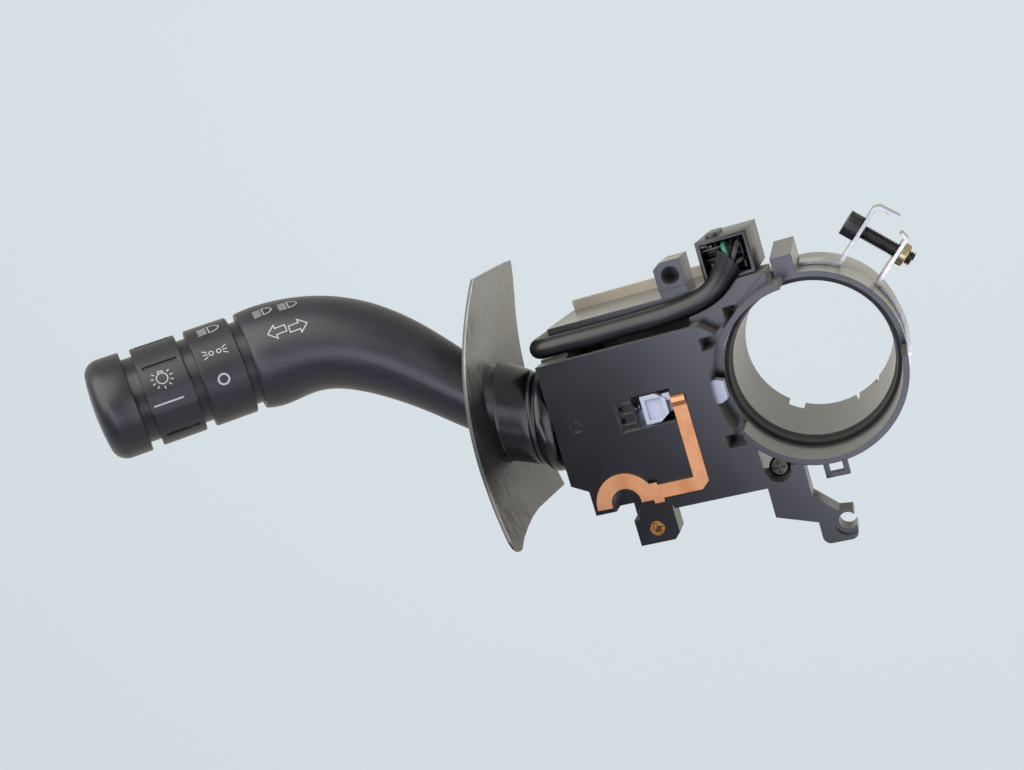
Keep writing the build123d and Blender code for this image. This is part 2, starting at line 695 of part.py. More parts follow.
# ---------------------------------------------------------------- knob
with BuildPart() as stalk_core:
    with BuildSketch(knob_plane.offset(-core_sunk)):
        Circle(core_r)
        Circle(core_in_r, mode=Mode.SUBTRACT)
    extrude(amount=core_sunk + core_end)
    with BuildSketch(knob_plane.offset(core_end - 3)):
        Circle(core_in_r + 1)
        Circle(stem_r + 0.06, mode=Mode.SUBTRACT)
    extrude(amount=3.0)
    # arc slot for the drive tab of the light ring
    with BuildSketch(knob_plane.offset(light_at + 3)):
        ring_sector(core_in_r - 0.5, core_r + 1, 140.0, 140.0 + light_throw + 24.0)
    extrude(amount=4.6, mode=Mode.SUBTRACT)
stalk_core.part.label = "stalk_core"
export_step(stalk_core.part, "parts/stalk_core.step")

with BuildPart() as symbol_ring:
    with BuildSketch(knob_plane.offset(symbol_at)):
        Circle(knob_r)
        Circle(core_r + 0.05, mode=Mode.SUBTRACT)
    extrude(amount=symbol_len)
    chamfer(symbol_ring.edges().filter_by(GeomType.CIRCLE).sort_by(SortBy.RADIUS)[-2:], 0.3)
symbol_ring.part.label = "symbol_ring"
export_step(symbol_ring.part, "parts/symbol_ring.step")

# rotary light ring with grip grooves, an index flat and a drive tab
with BuildPart() as light_ring:
    with BuildSketch(knob_plane.offset(light_at)):
        Circle(knob_r)
        Circle(core_r + 0.08, mode=Mode.SUBTRACT)
    extrude(amount=light_len)
    chamfer(light_ring.edges().filter_by(GeomType.CIRCLE).sort_by(SortBy.RADIUS)[-2:], 0.3)
    with BuildSketch(knob_plane.offset(light_at + 1.5)):
        with PolarLocations(knob_r, 7, start_angle=index_angle + 43, angular_range=274, endpoint=True):
            Rectangle(1.2, 1.3)
    extrude(amount=light_len - 3.0, mode=Mode.SUBTRACT)
    # index recess with a raised pointer rib along its middle
    with BuildSketch(knob_plane.offset(light_at)):
        with PolarLocations(knob_r, 1, start_angle=index_angle + 2):
            Trapezoid(5.4, 1.1, 118, rotation=90)
    extrude(amount=light_len, mode=Mode.SUBTRACT)
    with BuildSketch(knob_plane.offset(light_at + 1.6)):
        with PolarLocations(knob_r - 1.0, 1, start_angle=index_angle + 1):
            Rectangle(1.0, 1.3)
    extrude(amount=light_len - 3.2)
    with BuildSketch(knob_plane.offset(light_at + 3.4)):
        ring_sector(core_in_r - 2.0, core_r + 0.6, tab_start - 8.0, tab_start + 8.0)
    extrude(amount=3.8)
light_ring.part.label = "light_ring"
export_step(light_ring.part, "parts/light_ring.step")

with BuildPart() as light_contact_disc:
    with BuildSketch(knob_plane.offset(light_at - 1.6)):
        Circle(core_in_r - 0.05)
        Circle(stem_r + 0.8, mode=Mode.SUBTRACT)
    extrude(amount=1.6)
light_contact_disc.part.label = "light_contact_disc"
export_step(light_contact_disc.part, "parts/light_contact_disc.step")

with BuildPart() as light_wiper:
    with BuildSketch(knob_plane.offset(light_at + 3.0)):
        ring_sector(core_in_r - 1.9, core_in_r - 0.4, tab_start - 7.0, tab_start + 7.0)
    extrude(amount=0.4)
    with BuildSketch(knob_plane.offset(light_at + 0.4)):
        ring_sector(core_in_r - 1.7, core_in_r - 0.6, tab_start - 3.0, tab_start + 3.0)
    extrude(amount=2.7)
light_wiper.part.label = "light_wiper"
export_step(light_wiper.part, "parts/light_wiper.step")

with BuildPart() as end_cap:
    with BuildSketch(knob_plane.offset(cap_at)):
        Circle(cap_r)
    extrude(amount=cap_len)
    fillet(end_cap.faces().sort_by(Axis(stalk_tip, knob_dir))[-1].edges(), 5.2)
    chamfer(end_cap.faces().sort_by(Axis(stalk_tip, knob_dir))[0].edges(), 0.3)
    with BuildSketch(knob_plane.offset(cap_at)):
        Circle(cap_r - cap_wall)
        Circle(stem_r, mode=Mode.SUBTRACT)
    extrude(amount=7.4, mode=Mode.SUBTRACT)
    with BuildSketch(knob_plane.offset(cap_at + 8)):
        Circle(stem_r)
    extrude(amount=-15.0)
end_cap.part.label = "end_cap"
export_step(end_cap.part, "parts/end_cap.step")

# return spring of the end cap
spring_r = stem_r + 1.6
spring_at, spring_len = core_end + 0.25, 7.9
with BuildPart() as cap_spring:
    with BuildLine() as coil:
        Helix(pitch=spring_len / 4.6, height=spring_len - 0.8, radius=spring_r)
    with BuildSketch(Plane(origin=coil.line @ 0, z_dir=coil.line % 0)):
        RegularPolygon(radius=0.35, side_count=8)
    sweep()
cap_spring.part = knob_plane.location * Pos(0, 0, spring_at + 0.4) * cap_spring.part
cap_spring.part.label = "cap_spring"
export_step(cap_spring.part, "parts/cap_spring.step")

# ---------------------------------------------------------------- slot cover on the stalk
with BuildPart() as slot_cover:
    with BuildSketch(Plane.XY.offset(-60.0)):
        with BuildLine():
            ThreePointArc(*cover_arc)
            Line(cover_arc[2], (cover_arc[2][0] + cover_t, cover_arc[2][1]))
            ThreePointArc(*[(x + cover_t, y) for x, y in reversed(cover_arc)])
            Line((cover_arc[0][0] + cover_t, cover_arc[0][1]), cover_arc[0])
        make_face()
    extrude(amount=90.0)
    with BuildSketch(Plane.YZ.offset(-95.0)):
        with BuildLine():
            near_edge = Spline((46.4, 3.0), (27.0, 10.4), (8.0, 14.8), (-7.0, 17.4), (-21.0, 20.6))
            heel = Line(near_edge @ 1, (-24.6, 17.2))
            ThreePointArc(heel @ 1, (-21.7, 6.0), (-20.8, -8.0))
            Polyline((-20.8, -8.0), (-22.4, -35.0), (15.0, -42.5), (36.5, -41.5), (46.8, -36.5), near_edge @ 0)
        make_face()
    extrude(amount=30.0, mode=Mode.INTERSECT)
    with BuildSketch(root_plane.offset(socket_s + 1.1)):
        Circle(11.0)
    extrude(amount=5.0)
    with BuildSketch(Plane.XY.offset(-60.0)):
        with BuildLine():
            cover_front = ThreePointArc(*[(x - 0.01, y) for x, y in cover_arc])
            Polyline(
                cover_front @ 1, (-110.0, cover_arc[2][1]), (-110.0, cover_arc[0][1]), cover_front @ 0,
            )
        make_face()
    extrude(amount=90.0, mode=Mode.SUBTRACT)
    with BuildSketch(root_plane.offset(socket_s - 7)):
        Circle(9.6)
    extrude(amount=12.0, mode=Mode.SUBTRACT)
    with BuildSketch(Plane(origin=root_end, z_dir=stations[1][0] - root_end)):
        Circle(9.9)
    extrude(amount=16.0, mode=Mode.SUBTRACT)
slot_cover.part.label = "slot_cover"
export_step(slot_cover.part, "parts/slot_cover.step")

# ---------------------------------------------------------------- rubber boot
with BuildPart() as rubber_boot:
    with BuildSketch(Plane(origin=pivot, x_dir=dip_dir, z_dir=dip_dir.cross(root_dir))):
        with BuildLine():
            Polyline(
                (13.1, 14.0), (13.1, 23.0), (11.6, 24.3), (13.2, 25.8), (13.6, 27.2), (14.2, 48.0),
                (12.9, 48.0), (12.3, 27.8), (11.8, 26.6), (10.2, 24.4), (11.8, 22.4), (11.8, 14.0), close=True,
            )
        make_face()
    revolve(axis=Axis(pivot, root_dir))
    split(bisect_by=Plane.YZ.offset(left - 0.05), keep=Keep.BOTTOM)
    with BuildSketch(Plane.XY.offset(-60.0)):
        with BuildLine():
            cover_back = ThreePointArc(*[(x + cover_t + 0.05, y) for x, y in cover_arc])
            Polyline(
                cover_back @ 1, (-110.0, cover_arc[2][1]), (-110.0, cover_arc[0][1]), cover_back @ 0,
            )
        make_face()
    extrude(amount=90.0, mode=Mode.SUBTRACT)
rubber_boot.part.label = "rubber_boot"
export_step(rubber_boot.part, "parts/rubber_boot.step")

# ---------------------------------------------------------------- cancel pawl and its spring
with BuildPart() as cancel_pawl:
    with BuildSketch(Plane.XY.offset(pawl_z0)):
        with BuildLine():
            Polyline(
                (-45.0, -2.0), (-45.0, 3.2), (-28.0, 3.2), (-24.0, 3.2), (pawl_tip_x, 2.4), (pawl_tip_x, -2.4),
                (-24.0, -3.2), (-28.0, -3.2), (-30.0, -2.0), close=True,
            )
        make_face()
    extrude(amount=pawl_z1 - pawl_z0)
    with BuildSketch(Plane.XY.offset(pawl_z1 - 0.5)):
        with BuildLine():
            Polyline((-44.2, -3.6), (-44.2, 4.1), (-40.2, 4.1), (-37.6, 2.2), (-37.6, -1.8), (-40.2, -3.6), close=True)
        make_face()
    extrude(amount=3.7)
    with BuildSketch(Plane.XY.offset(pawl_z1 + 1.0)):
        with Locations((-40.9, 0.2)):
            Rectangle(4.4, 5.4)
    extrude(amount=2.5, mode=Mode.SUBTRACT)
    with BuildSketch(Plane.XY.offset(pawl_z1)):
        with Locations((-40.9, 0.2)):
            Rectangle(4.4, 5.4)
    extrude(amount=2.4)
    with BuildSketch(Plane.XY.offset(pawl_z1 - 0.5)):
        with Locations((-37.4, 2.4)):
            Rectangle(2.0, 2.0)
    extrude(amount=2.6)
cancel_pawl.part.label = "cancel_pawl"
export_step(cancel_pawl.part, "parts/cancel_pawl.step")

pawl_spring_len = 7.4
with BuildPart() as pawl_spring:
    with BuildLine() as pawl_coil:
        Helix(pitch=1.4, height=pawl_spring_len - 0.7, radius=1.2)
    with BuildSketch(Plane(origin=pawl_coil.line @ 0, z_dir=pawl_coil.line % 0)):
        RegularPolygon(radius=0.22, side_count=6)
    sweep()
pawl_spring.part = Pos(-45.4, 0.6, (pawl_z0 + pawl_z1) / 2) * Rot(0, -90, 0) * pawl_spring.part
pawl_spring.part.label = "pawl_spring"
export_step(pawl_spring.part, "parts/pawl_spring.step")
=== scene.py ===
# %% [markdown]
# # Combination stalk switch
#
# The switch sits on a steering column. A moulded collar carries a bent lever for the turn
# signals and the lights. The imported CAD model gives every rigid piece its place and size.
# This lesson sets the view and the light, gives each piece a procedural finish, and makes
# the forms that CAD keeps plain: the rubber boot, the harness, the threads and the prints.

# %% Set-up
import bpy, math
from mathutils import Vector, Matrix


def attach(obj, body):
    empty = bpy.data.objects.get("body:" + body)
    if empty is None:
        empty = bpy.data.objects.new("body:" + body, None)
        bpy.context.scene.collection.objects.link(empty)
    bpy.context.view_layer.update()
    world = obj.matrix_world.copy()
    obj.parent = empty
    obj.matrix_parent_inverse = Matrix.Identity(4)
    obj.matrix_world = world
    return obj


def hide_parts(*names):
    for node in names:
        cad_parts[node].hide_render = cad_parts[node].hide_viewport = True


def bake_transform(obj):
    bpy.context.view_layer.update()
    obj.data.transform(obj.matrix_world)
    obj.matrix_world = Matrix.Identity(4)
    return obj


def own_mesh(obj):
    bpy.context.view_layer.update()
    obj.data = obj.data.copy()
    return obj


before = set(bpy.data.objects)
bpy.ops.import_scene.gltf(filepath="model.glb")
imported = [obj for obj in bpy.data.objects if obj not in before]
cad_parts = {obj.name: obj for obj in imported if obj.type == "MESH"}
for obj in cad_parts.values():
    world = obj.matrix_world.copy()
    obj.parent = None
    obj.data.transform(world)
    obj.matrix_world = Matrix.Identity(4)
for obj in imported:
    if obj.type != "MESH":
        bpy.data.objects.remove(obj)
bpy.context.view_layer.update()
MM = 0.001

# %% [markdown]
# ## Camera
#
# A small part is shown best from close by with a normal lens. The camera stands about
# 0.33 m away, looks down the bore of the collar and is turned a little, so that the collar's
# open cup, the working plate and the lever all show. Its axes to the right and up are written
# out, the third is their cross product, and a matrix of the three gives the rotation. That is
# easier to check than three angles.

# %% Camera
RIGHT = Vector((0.91671, -0.29275, -0.27192))
UP = Vector((0.23636, 0.94604, -0.22168))
EYE = Vector((0.031603, 0.062589, 0.313939))

bpy.ops.object.camera_add(location=EYE)
camera = bpy.context.object
camera.name = "camera"
camera.data.sensor_width = 36.0
camera.data.lens = 43.80
camera.data.clip_start = 0.01
camera.data.dof.use_dof = False
camera.rotation_euler = Matrix((RIGHT, UP, RIGHT.cross(UP))).transposed().to_euler()
scene = bpy.context.scene
scene.camera = camera
scene.view_settings.view_transform = "Standard"
print("camera", tuple(round(v, 3) for v in EYE), "lens", camera.data.lens)

# %% [markdown]
# ## Shader helpers
#
# A material is a small tree of nodes. `node` adds one node and sets its properties, values
# and links in one call, so a tree reads from top to bottom. Colours are written as sRGB hex
# codes and turned to linear by `rgb`. Pattern sizes are given in millimetres, because a grain
# or a scratch has a real size, and `cells` turns such a size to a texture scale.

# %% Node and colour helpers
def rgb(code):
    """Linear colour from an sRGB hex code."""
    channels = [int(code[i:i + 2], 16) / 255.0 for i in (0, 2, 4)]
    return tuple(c / 12.92 if c <= 0.04045 else ((c + 0.055) / 1.055) ** 2.4 for c in channels) + (1.0,)


def node(tree, kind, inputs=None, **props):
    """Add one shader node, set its properties and its input values or links."""
    made = tree.nodes.new(kind)
    for key, value in props.items():
        setattr(made, key, value)
    for key, value in (inputs or {}).items():
        if isinstance(value, bpy.types.NodeSocket):
            tree.links.new(value, made.inputs[key])
        else:
            made.inputs[key].default_value = value
    return made


def cells(size_mm):
    """Texture scale that repeats about every size_mm millimetres."""
    return 1.0 / (size_mm * MM)


def new_material(name):
    """Empty node material and its tree."""
    made = bpy.data.materials.new(name)
    made.use_nodes = True
    made.node_tree.nodes.clear()
    return made, made.node_tree


print("a 0.5 mm grain has scale", cells(0.5))

# %% [markdown]
# The next helpers are the steps that most finishes share: a place to read the pattern from,
# a noise of a given size, a remapped range, a mix of two colours and a sum or product.

# %% Pattern helpers
def place(tree, stretch=(1, 1, 1)):
    """Object coordinates, scaled."""
    coords = node(tree, "ShaderNodeTexCoord")
    return node(
        tree, "ShaderNodeMapping", {"Vector": coords.outputs["Object"], "Scale": stretch}
    ).outputs["Vector"]


def noise(tree, where, size_mm, detail=2.0, rough=0.5):
    """Noise factor with cells of about size_mm."""
    return node(
        tree, "ShaderNodeTexNoise",
        {"Vector": where, "Scale": cells(size_mm), "Detail": detail, "Roughness": rough},
    ).outputs["Fac"]


def ramp(tree, value, low, high, out_low=0.0, out_high=1.0):
    """Value between low and high mapped to a new range, clamped."""
    return node(
        tree, "ShaderNodeMapRange",
        {"Value": value, "From Min": low, "From Max": high, "To Min": out_low, "To Max": out_high},
    ).outputs["Result"]


def mix_colour(tree, factor, first, second):
    """Two colours mixed by a factor. A Mix node holds its colours in sockets 6 and 7."""
    made = node(tree, "ShaderNodeMix", {0: factor, 6: first, 7: second}, data_type="RGBA")
    return made.outputs[2]


def sums(tree, first, second, operation="ADD"):
    """Arithmetic on two values."""
    return node(tree, "ShaderNodeMath", {0: first, 1: second}, operation=operation).outputs[0]


EDGE_STARTS, EDGE_FULL = 0.995, 0.86


def rounded(tree, radius_mm):
    """Normal softened over the edges, and a factor that is 1 on the outer edges."""
    soft = node(tree, "ShaderNodeBevel", {"Radius": radius_mm * MM}, samples=6).outputs[0]
    sharp = node(tree, "ShaderNodeNewGeometry").outputs["Normal"]
    agreement = node(tree, "ShaderNodeVectorMath", {0: soft, 1: sharp}, operation="DOT_PRODUCT")
    return soft, ramp(tree, agreement.outputs["Value"], EDGE_STARTS, EDGE_FULL)


def surface(tree, **inputs):
    """Principled surface on the material output."""
    names = {
        "colour": "Base Color", "rough": "Roughness", "metal": "Metallic", "normal": "Normal",
        "ior": "IOR", "bloom": "Sheen Weight", "bloom_rough": "Sheen Roughness",
        "bloom_tint": "Sheen Tint",
    }
    values = {names[key]: value for key, value in inputs.items()}
    shader = node(tree, "ShaderNodeBsdfPrincipled", values)
    node(tree, "ShaderNodeOutputMaterial", {"Surface": shader.outputs[0]})


def bumped(tree, height, strength, depth_mm, normal):
    """Normal of a surface whose height follows a pattern."""
    return node(
        tree, "ShaderNodeBump",
        {"Height": height, "Strength": strength, "Distance": depth_mm * MM, "Normal": normal},
    ).outputs[0]


print("edges wear where the two normals agree less than", EDGE_STARTS)

# %% [markdown]
# ## Moulded plastic and rubber
#
# A moulded surface copies the spark-eroded steel of its mould: a fine even grain. Its gloss
# drifts slowly where the melt cooled at another speed, and handling polishes its outer edges
# lighter. Filler at the skin gives a pale bloom where the eye grazes the surface, which the
# sheen of the shader draws. All black plastics and the rubber share this recipe with other
# sizes and colours, so one function makes them. The real grain is 0.02 to 0.05 mm, too fine
# to show from here, so it is drawn about ten times as coarse.

# %% Moulded plastics
CLOUD_MM, PATCH_MM = 16.0, 3.0


def moulded(
    name, dark, light, rough, grain_mm, depth=0.05, wear="4A4A50", edge_mm=0.25, worn=0.3,
    ior=1.52, streak=(1, 1, 1), bloom=0.0, cloud=0.03,
):
    """Moulded surface: fine grain, slow mottling, softened and worn edges, and a powdery bloom."""
    made, tree = new_material(name)
    where = place(tree)
    soft, rim = rounded(tree, edge_mm)
    slow = noise(tree, place(tree, streak), CLOUD_MM, 4.0)
    patch = noise(tree, where, PATCH_MM, 3.0)
    fine = noise(tree, where, grain_mm, 2.0, 0.6)
    colour = mix_colour(tree, ramp(tree, slow, 0.35, 0.68), rgb(dark), rgb(light))
    rubbed = sums(tree, rim, ramp(tree, patch, 0.42, 0.66, 0.0, worn), "MULTIPLY")
    colour = mix_colour(tree, rubbed, colour, rgb(wear))
    gloss = sums(tree, ramp(tree, slow, 0.3, 0.7, -cloud, cloud), rough)
    gloss = sums(tree, gloss, ramp(tree, patch, 0.3, 0.7, -cloud / 2, cloud / 2))
    surface(
        tree, colour=colour, rough=gloss, normal=bumped(tree, fine, depth, 0.15, soft), ior=ior,
        bloom=bloom, bloom_rough=0.3, bloom_tint=rgb("F2ECDD"),
    )
    return made


# PBT with glass fibre, moulded: near black, half gloss, and beige-grey where the eye grazes it.
housing_pbt = moulded(
    "glass_filled_pbt", "060609", "0B0B0F", 0.25, 0.45, 0.02, edge_mm=0.2, bloom=0.34, cloud=0.02
)
# ABS off a spark-eroded mould: a soft satin black with a slight violet cast.
stalk_abs = moulded(
    "spark_textured_abs", "15151B", "1E1D26", 0.40, 0.30, 0.10, edge_mm=0.35, bloom=0.10
)
# The same ABS on the knob, a shade darker from handling.
knob_abs = moulded("knob_abs", "131319", "1B1A22", 0.40, 0.30, 0.10, edge_mm=0.3, bloom=0.08)
# Polyamide core: smoother than the lever, so the grooves of the knob shine a little.
core_pa = moulded("core_polyamide", "141417", "1A1A1E", 0.34, 0.35, 0.05)
# Unfilled PBT of the connector: plain black with narrow highlights.
connector_pbt = moulded("connector_pbt", "060608", "0B0B0D", 0.30, 0.40, 0.05)
# Black acetal guide: greasy and dull, so that it reads as a black line in the cup.
guide_pom = moulded("guide_black_acetal", "040405", "080809", 0.50, 0.50, 0.04, wear="18181A", ior=1.35)
# Natural acetal: milky white with a cool cast, the one pale plastic of the switch.
acetal = moulded("natural_acetal", "8C92A4", "9DA3B3", 0.34, 0.60, 0.03, wear="B4B9C6", ior=1.5)
print("moulded finishes:", [m.name for m in bpy.data.materials])

# %% [markdown]
# The boot is carbon-black rubber: darker and glossier than the plastic. The sleeve and the
# wires are soft PVC, drawn through a die. They are made by the same function, because what
# the eye gets from them is again a base tone, a gloss and a worn edge.

# %% Rubber and vinyl
# EPDM rubber from a polished mould: deep black, wet-looking highlights, grey on worn lips.
boot_epdm = moulded("boot_epdm", "050508", "0A0A0E", 0.24, 0.9, 0.05, wear="3E3E46", worn=0.8, ior=1.5)
# Soft PVC, extruded: black with a long, broken highlight over its waves.
sleeve_pvc = moulded(
    "sleeve_pvc", "070709", "0D0D11", 0.36, 2.4, 0.22, wear="303034", worn=0.2, ior=1.5
)
# PVC insulation, extruded: smooth and plain.
wire_pvc = moulded("wire_black_pvc", "0A0A0B", "101012", 0.30, 1.2, 0.05)
# The same in green, the one spot of colour at the connector.
wire_green = moulded("wire_green_pvc", "12604A", "1B7A5E", 0.34, 1.2, 0.05, wear="3E9478")
print("rubber and vinyl:", boot_epdm.name, sleeve_pvc.name, wire_pvc.name, wire_green.name)

# %% [markdown]
# The slot cover is stamped from a calendered plastic sheet. The rolls leave gloss streaks along the
# sheet. At both ends its hollow side is painted pale grey. That is partly dust and partly a painted
# reflection of the pale surroundings that the hollow faces. The middle keeps the dark tone of the
# sheet. The bow is part of a circle about an upright axis, so a point lies on the hollow side when it
# is nearer to that axis than the middle of the wall.

# %% Calendered sheet
COVER_T = 1.0
BOW_CENTRE, BOW_R = (15.82, 5.03), 102.33


def calendered_sheet():
    """Thin plastic sheet: gloss streaks along its bow, a dark middle, and pale ends on its hollow side,
    part dust and part painted reflection.
    """
    made, tree = new_material("calendered_sheet")
    soft, rim = rounded(tree, 0.18)
    streaks = noise(tree, place(tree, (1.0, 0.06, 1.0)), 1.6, 4.0, 0.62)
    broad = noise(tree, place(tree, (1.0, 0.12, 1.0)), 7.0, 2.0)
    dust = noise(tree, place(tree), 0.7, 3.0, 0.7)
    along = node(tree, "ShaderNodeSeparateXYZ", {0: place(tree)}).outputs["Y"]
    far_end = ramp(tree, along, 14 * MM, 27 * MM)
    near_end = ramp(tree, along, -3 * MM, -12 * MM, 0.0, 0.55)
    axis = (BOW_CENTRE[0] * MM, BOW_CENTRE[1] * MM, 0.0)
    from_axis = node(
        tree, "ShaderNodeVectorMath", {0: place(tree, (1, 1, 0)), 1: axis}, operation="DISTANCE"
    ).outputs["Value"]
    inner, outer = (BOW_R - 0.7 * COVER_T) * MM, (BOW_R - 0.4 * COVER_T) * MM
    hollow_side = ramp(tree, from_axis, inner, outer, 1.0, 0.12)
    # Pale ends of the hollow side: part dust, part painted reflection of the pale surroundings.
    dust_and_reflection = sums(tree, sums(tree, far_end, near_end, "MAXIMUM"), hollow_side, "MULTIPLY")
    dust_and_reflection = sums(tree, dust_and_reflection, ramp(tree, streaks, 0.30, 0.72, 0.35, 1.0), "MULTIPLY")
    colour = mix_colour(tree, ramp(tree, broad, 0.3, 0.7), rgb("0E0E10"), rgb("191919"))
    colour = mix_colour(tree, dust_and_reflection, colour, rgb("9E9A90"))
    colour = mix_colour(tree, ramp(tree, dust, 0.62, 0.74, 0.0, 0.35), colour, rgb("6A675F"))
    colour = mix_colour(tree, sums(tree, rim, 0.6, "MULTIPLY"), colour, rgb("7C7C7E"))
    gloss = sums(tree, ramp(tree, streaks, 0.3, 0.7, -0.08, 0.16), 0.22)
    surface(
        tree, colour=colour, rough=gloss, normal=bumped(tree, streaks, 0.10, 0.1, soft), ior=1.55,
        bloom=0.16, bloom_rough=0.3, bloom_tint=rgb("F1EEE8"),
    )
    return made


cover_sheet = calendered_sheet()
print("sheet finish:", cover_sheet.name, "bow radius", BOW_R, "mm")

# %% [markdown]
# ## Board, metals and ink
#
# The terminal board is phenolic paper laminate, tan with a fibrous cut edge. Metals are told
# apart by colour and by the marks of their making: rolling leaves long fine scratches, plating
# leaves a cloudy gloss, and bare copper tarnishes in patches.

# %% Board, metals and ink
def plated(
    name, dark, light, rough, stretch=(1, 1, 1), scratch_mm=1.1, depth=0.06,
    tarnish="6E695F", spots=0.25,
):
    """Plated or rolled metal: fine directional scratches, cloudy gloss and a little tarnish."""
    made, tree = new_material(name)
    soft, _ = rounded(tree, 0.12)
    lines = noise(tree, place(tree, stretch), scratch_mm, 3.0, 0.6)
    cloud = noise(tree, place(tree), 8.0, 4.0)
    colour = mix_colour(tree, ramp(tree, cloud, 0.35, 0.65), rgb(dark), rgb(light))
    colour = mix_colour(tree, ramp(tree, cloud, 0.56, 0.72, 0.0, spots), colour, rgb(tarnish))
    gloss = sums(tree, ramp(tree, lines, 0.3, 0.7, -0.07, 0.07), rough)
    surface(
        tree, colour=colour, rough=gloss, normal=bumped(tree, lines, depth, 0.1, soft), metal=1.0
    )
    return made


# Steel strip, zinc plated: bright grey, with rolling lines round the band.
band_steel = plated("zinc_plated_band", "8F8F8D", "B3B2AF", 0.32, (1, 1, 6))
# Nickel plated screws: a little brighter and tighter in gloss.
screw_steel = plated("nickel_plated_steel", "8C8D90", "B2B3B6", 0.28)
# Dark zinc on the recessed screw: a brownish dark grey.
dark_zinc = plated("dark_zinc_screw", "2C2B27", "45433B", 0.36)
# Tinned terminals, darkened to grey as painted shade of the deep well: dark grey glints in the well.
shaded_tin = plated("tin_terminal_painted_shade", "3A3A3C", "505052", 0.40)
# Drawn spring wire: plain bright steel.
spring_steel = plated("spring_steel", "77787B", "A0A1A4", 0.32)
# Yellow passivated zinc: pale straw.
yellow_zinc = plated("yellow_passivated_zinc", "9C8D62", "BDAF86", 0.36)
# Turned brass: a deep yellow with a narrow gloss.
brass = plated("turned_brass", "96631F", "C08A38", 0.28)
# Rolled copper, bare: salmon, matt, and browner in patches.
copper = plated(
    "rolled_copper", "AE7650", "C8946B", 0.46, (2, 2, 1), 1.4, 0.16, tarnish="8C5236", spots=0.5
)
# Black oxide is a thin layer of dark crystals, so the screw looks like a hard black plastic
# whose edges are rubbed to grey, and it is drawn as one.
black_oxide = moulded("black_oxide_steel", "0C0C0D", "141415", 0.30, 0.5, 0.05, wear="5A5A5C", worn=0.7)
# Phenolic paper laminate: tan, matt, with layers along the sheet.
board = moulded("phenolic_board", "8A8273", "A29B8B", 0.55, 0.7, 0.10, wear="C2BCAC", streak=(1, 1, 5))
# Pad-printed ink: a flat pale grey that doesn't shine.
ink = moulded("pad_printed_ink", "9A9B9F", "A9AAAE", 0.60, 0.2, 0.05, wear="B4B5B8", ior=1.4)
print("materials:", len(bpy.data.materials))

# %% [markdown]
# ## Floor and light
#
# The switch is shown in a white light tent over a pale floor. Three area lamps shape the
# form: a large soft one from the upper left, a narrow strip in front that draws a long
# highlight on the lever, and a weak fill from the right.

# %% Lamps
def panel(name, size, energy, origin, aim, colour):
    """Rectangular area light at a place, turned to a point."""
    bpy.ops.object.light_add(type="AREA", location=origin)
    lamp = bpy.context.object
    lamp.name = name
    lamp.data.shape = "RECTANGLE"
    lamp.data.size, lamp.data.size_y = size
    lamp.data.energy = energy
    lamp.data.color = rgb(colour)[:3]
    lamp.rotation_euler = (Vector(aim) - Vector(origin)).to_track_quat("-Z", "Y").to_euler()


panel("key_softbox", (0.9, 0.7), 7.0, (-0.22, 0.42, 0.42), (-0.06, 0.0, 0.0), "FFFBF2")
panel("front_strip", (0.16, 0.5), 1.3, (-0.05, -0.05, 0.5), (-0.08, 0.0, 0.0), "E6E9FF")
panel("right_fill", (0.5, 0.5), 1.8, (0.42, -0.08, 0.25), (0.0, 0.0, -0.02), "F0F2FF")

# %% [markdown]
# The floor lies well below, so its shadow is soft. It is mostly emission, which keeps it even,
# with a little plain diffuse surface that takes the shadow. The colour that the camera sees is
# a shade cooler than the one that shows in glossy pieces.

# %% Floor
FLOOR_Z = -0.45
FLOOR_PAINT = 0.15
PALE, WARM = rgb("D9E2E7"), rgb("E2DED2")

bpy.ops.object.select_all(action="DESELECT")
bpy.ops.mesh.primitive_plane_add(size=8.0, location=(0, 0, FLOOR_Z))
floor = bpy.context.object
floor.name = "studio_floor"
floor_paper, tree = new_material("studio_floor_paper")
path = node(tree, "ShaderNodeLightPath")
tone = mix_colour(tree, path.outputs["Is Camera Ray"], WARM, PALE)
glow = node(tree, "ShaderNodeEmission", {"Color": tone, "Strength": 1.0})
paper = node(tree, "ShaderNodeBsdfDiffuse", {"Color": PALE})
both = node(tree, "ShaderNodeMixShader", {0: FLOOR_PAINT, 1: glow.outputs[0], 2: paper.outputs[0]})
node(tree, "ShaderNodeOutputMaterial", {"Surface": both.outputs[0]})
floor.data.materials.append(floor_paper)
print("floor at", FLOOR_Z, "m")

# %% [markdown]
# The tent is the world. Its pale walls show in every glossy surface, its open top, where the
# camera stands, is darker, and as a lamp it is weak. So its strength depends on the direction
# for rays that see it, and is one low value for rays that only carry its light.

# %% World
TENT_WALL, TENT_TOP, TENT_LAMP = 0.85, 0.22, 0.28

world = bpy.data.worlds.new("light_tent")
world.use_nodes = True
tree = world.node_tree
tree.nodes.clear()
path = node(tree, "ShaderNodeLightPath")
seen = sums(tree, path.outputs["Is Camera Ray"], path.outputs["Is Glossy Ray"], "MAXIMUM")
seen = sums(tree, seen, path.outputs["Is Transmission Ray"], "MAXIMUM")
sky = node(tree, "ShaderNodeTexCoord")
rise = node(tree, "ShaderNodeSeparateXYZ", {0: sky.outputs["Generated"]}).outputs["Z"]
walls = ramp(tree, rise, 0.35, 0.75, TENT_WALL, TENT_TOP)
power = node(tree, "ShaderNodeMix", {0: seen, 2: TENT_LAMP, 3: walls}, data_type="FLOAT").outputs[0]
tent = node(tree, "ShaderNodeBackground", {"Color": PALE, "Strength": power})
node(tree, "ShaderNodeOutputWorld", {"Surface": tent.outputs[0]})
scene.world = world
print("world:", world.name)

# %% [markdown]
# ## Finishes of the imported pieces
#
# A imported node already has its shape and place. It only needs a material in its slots.

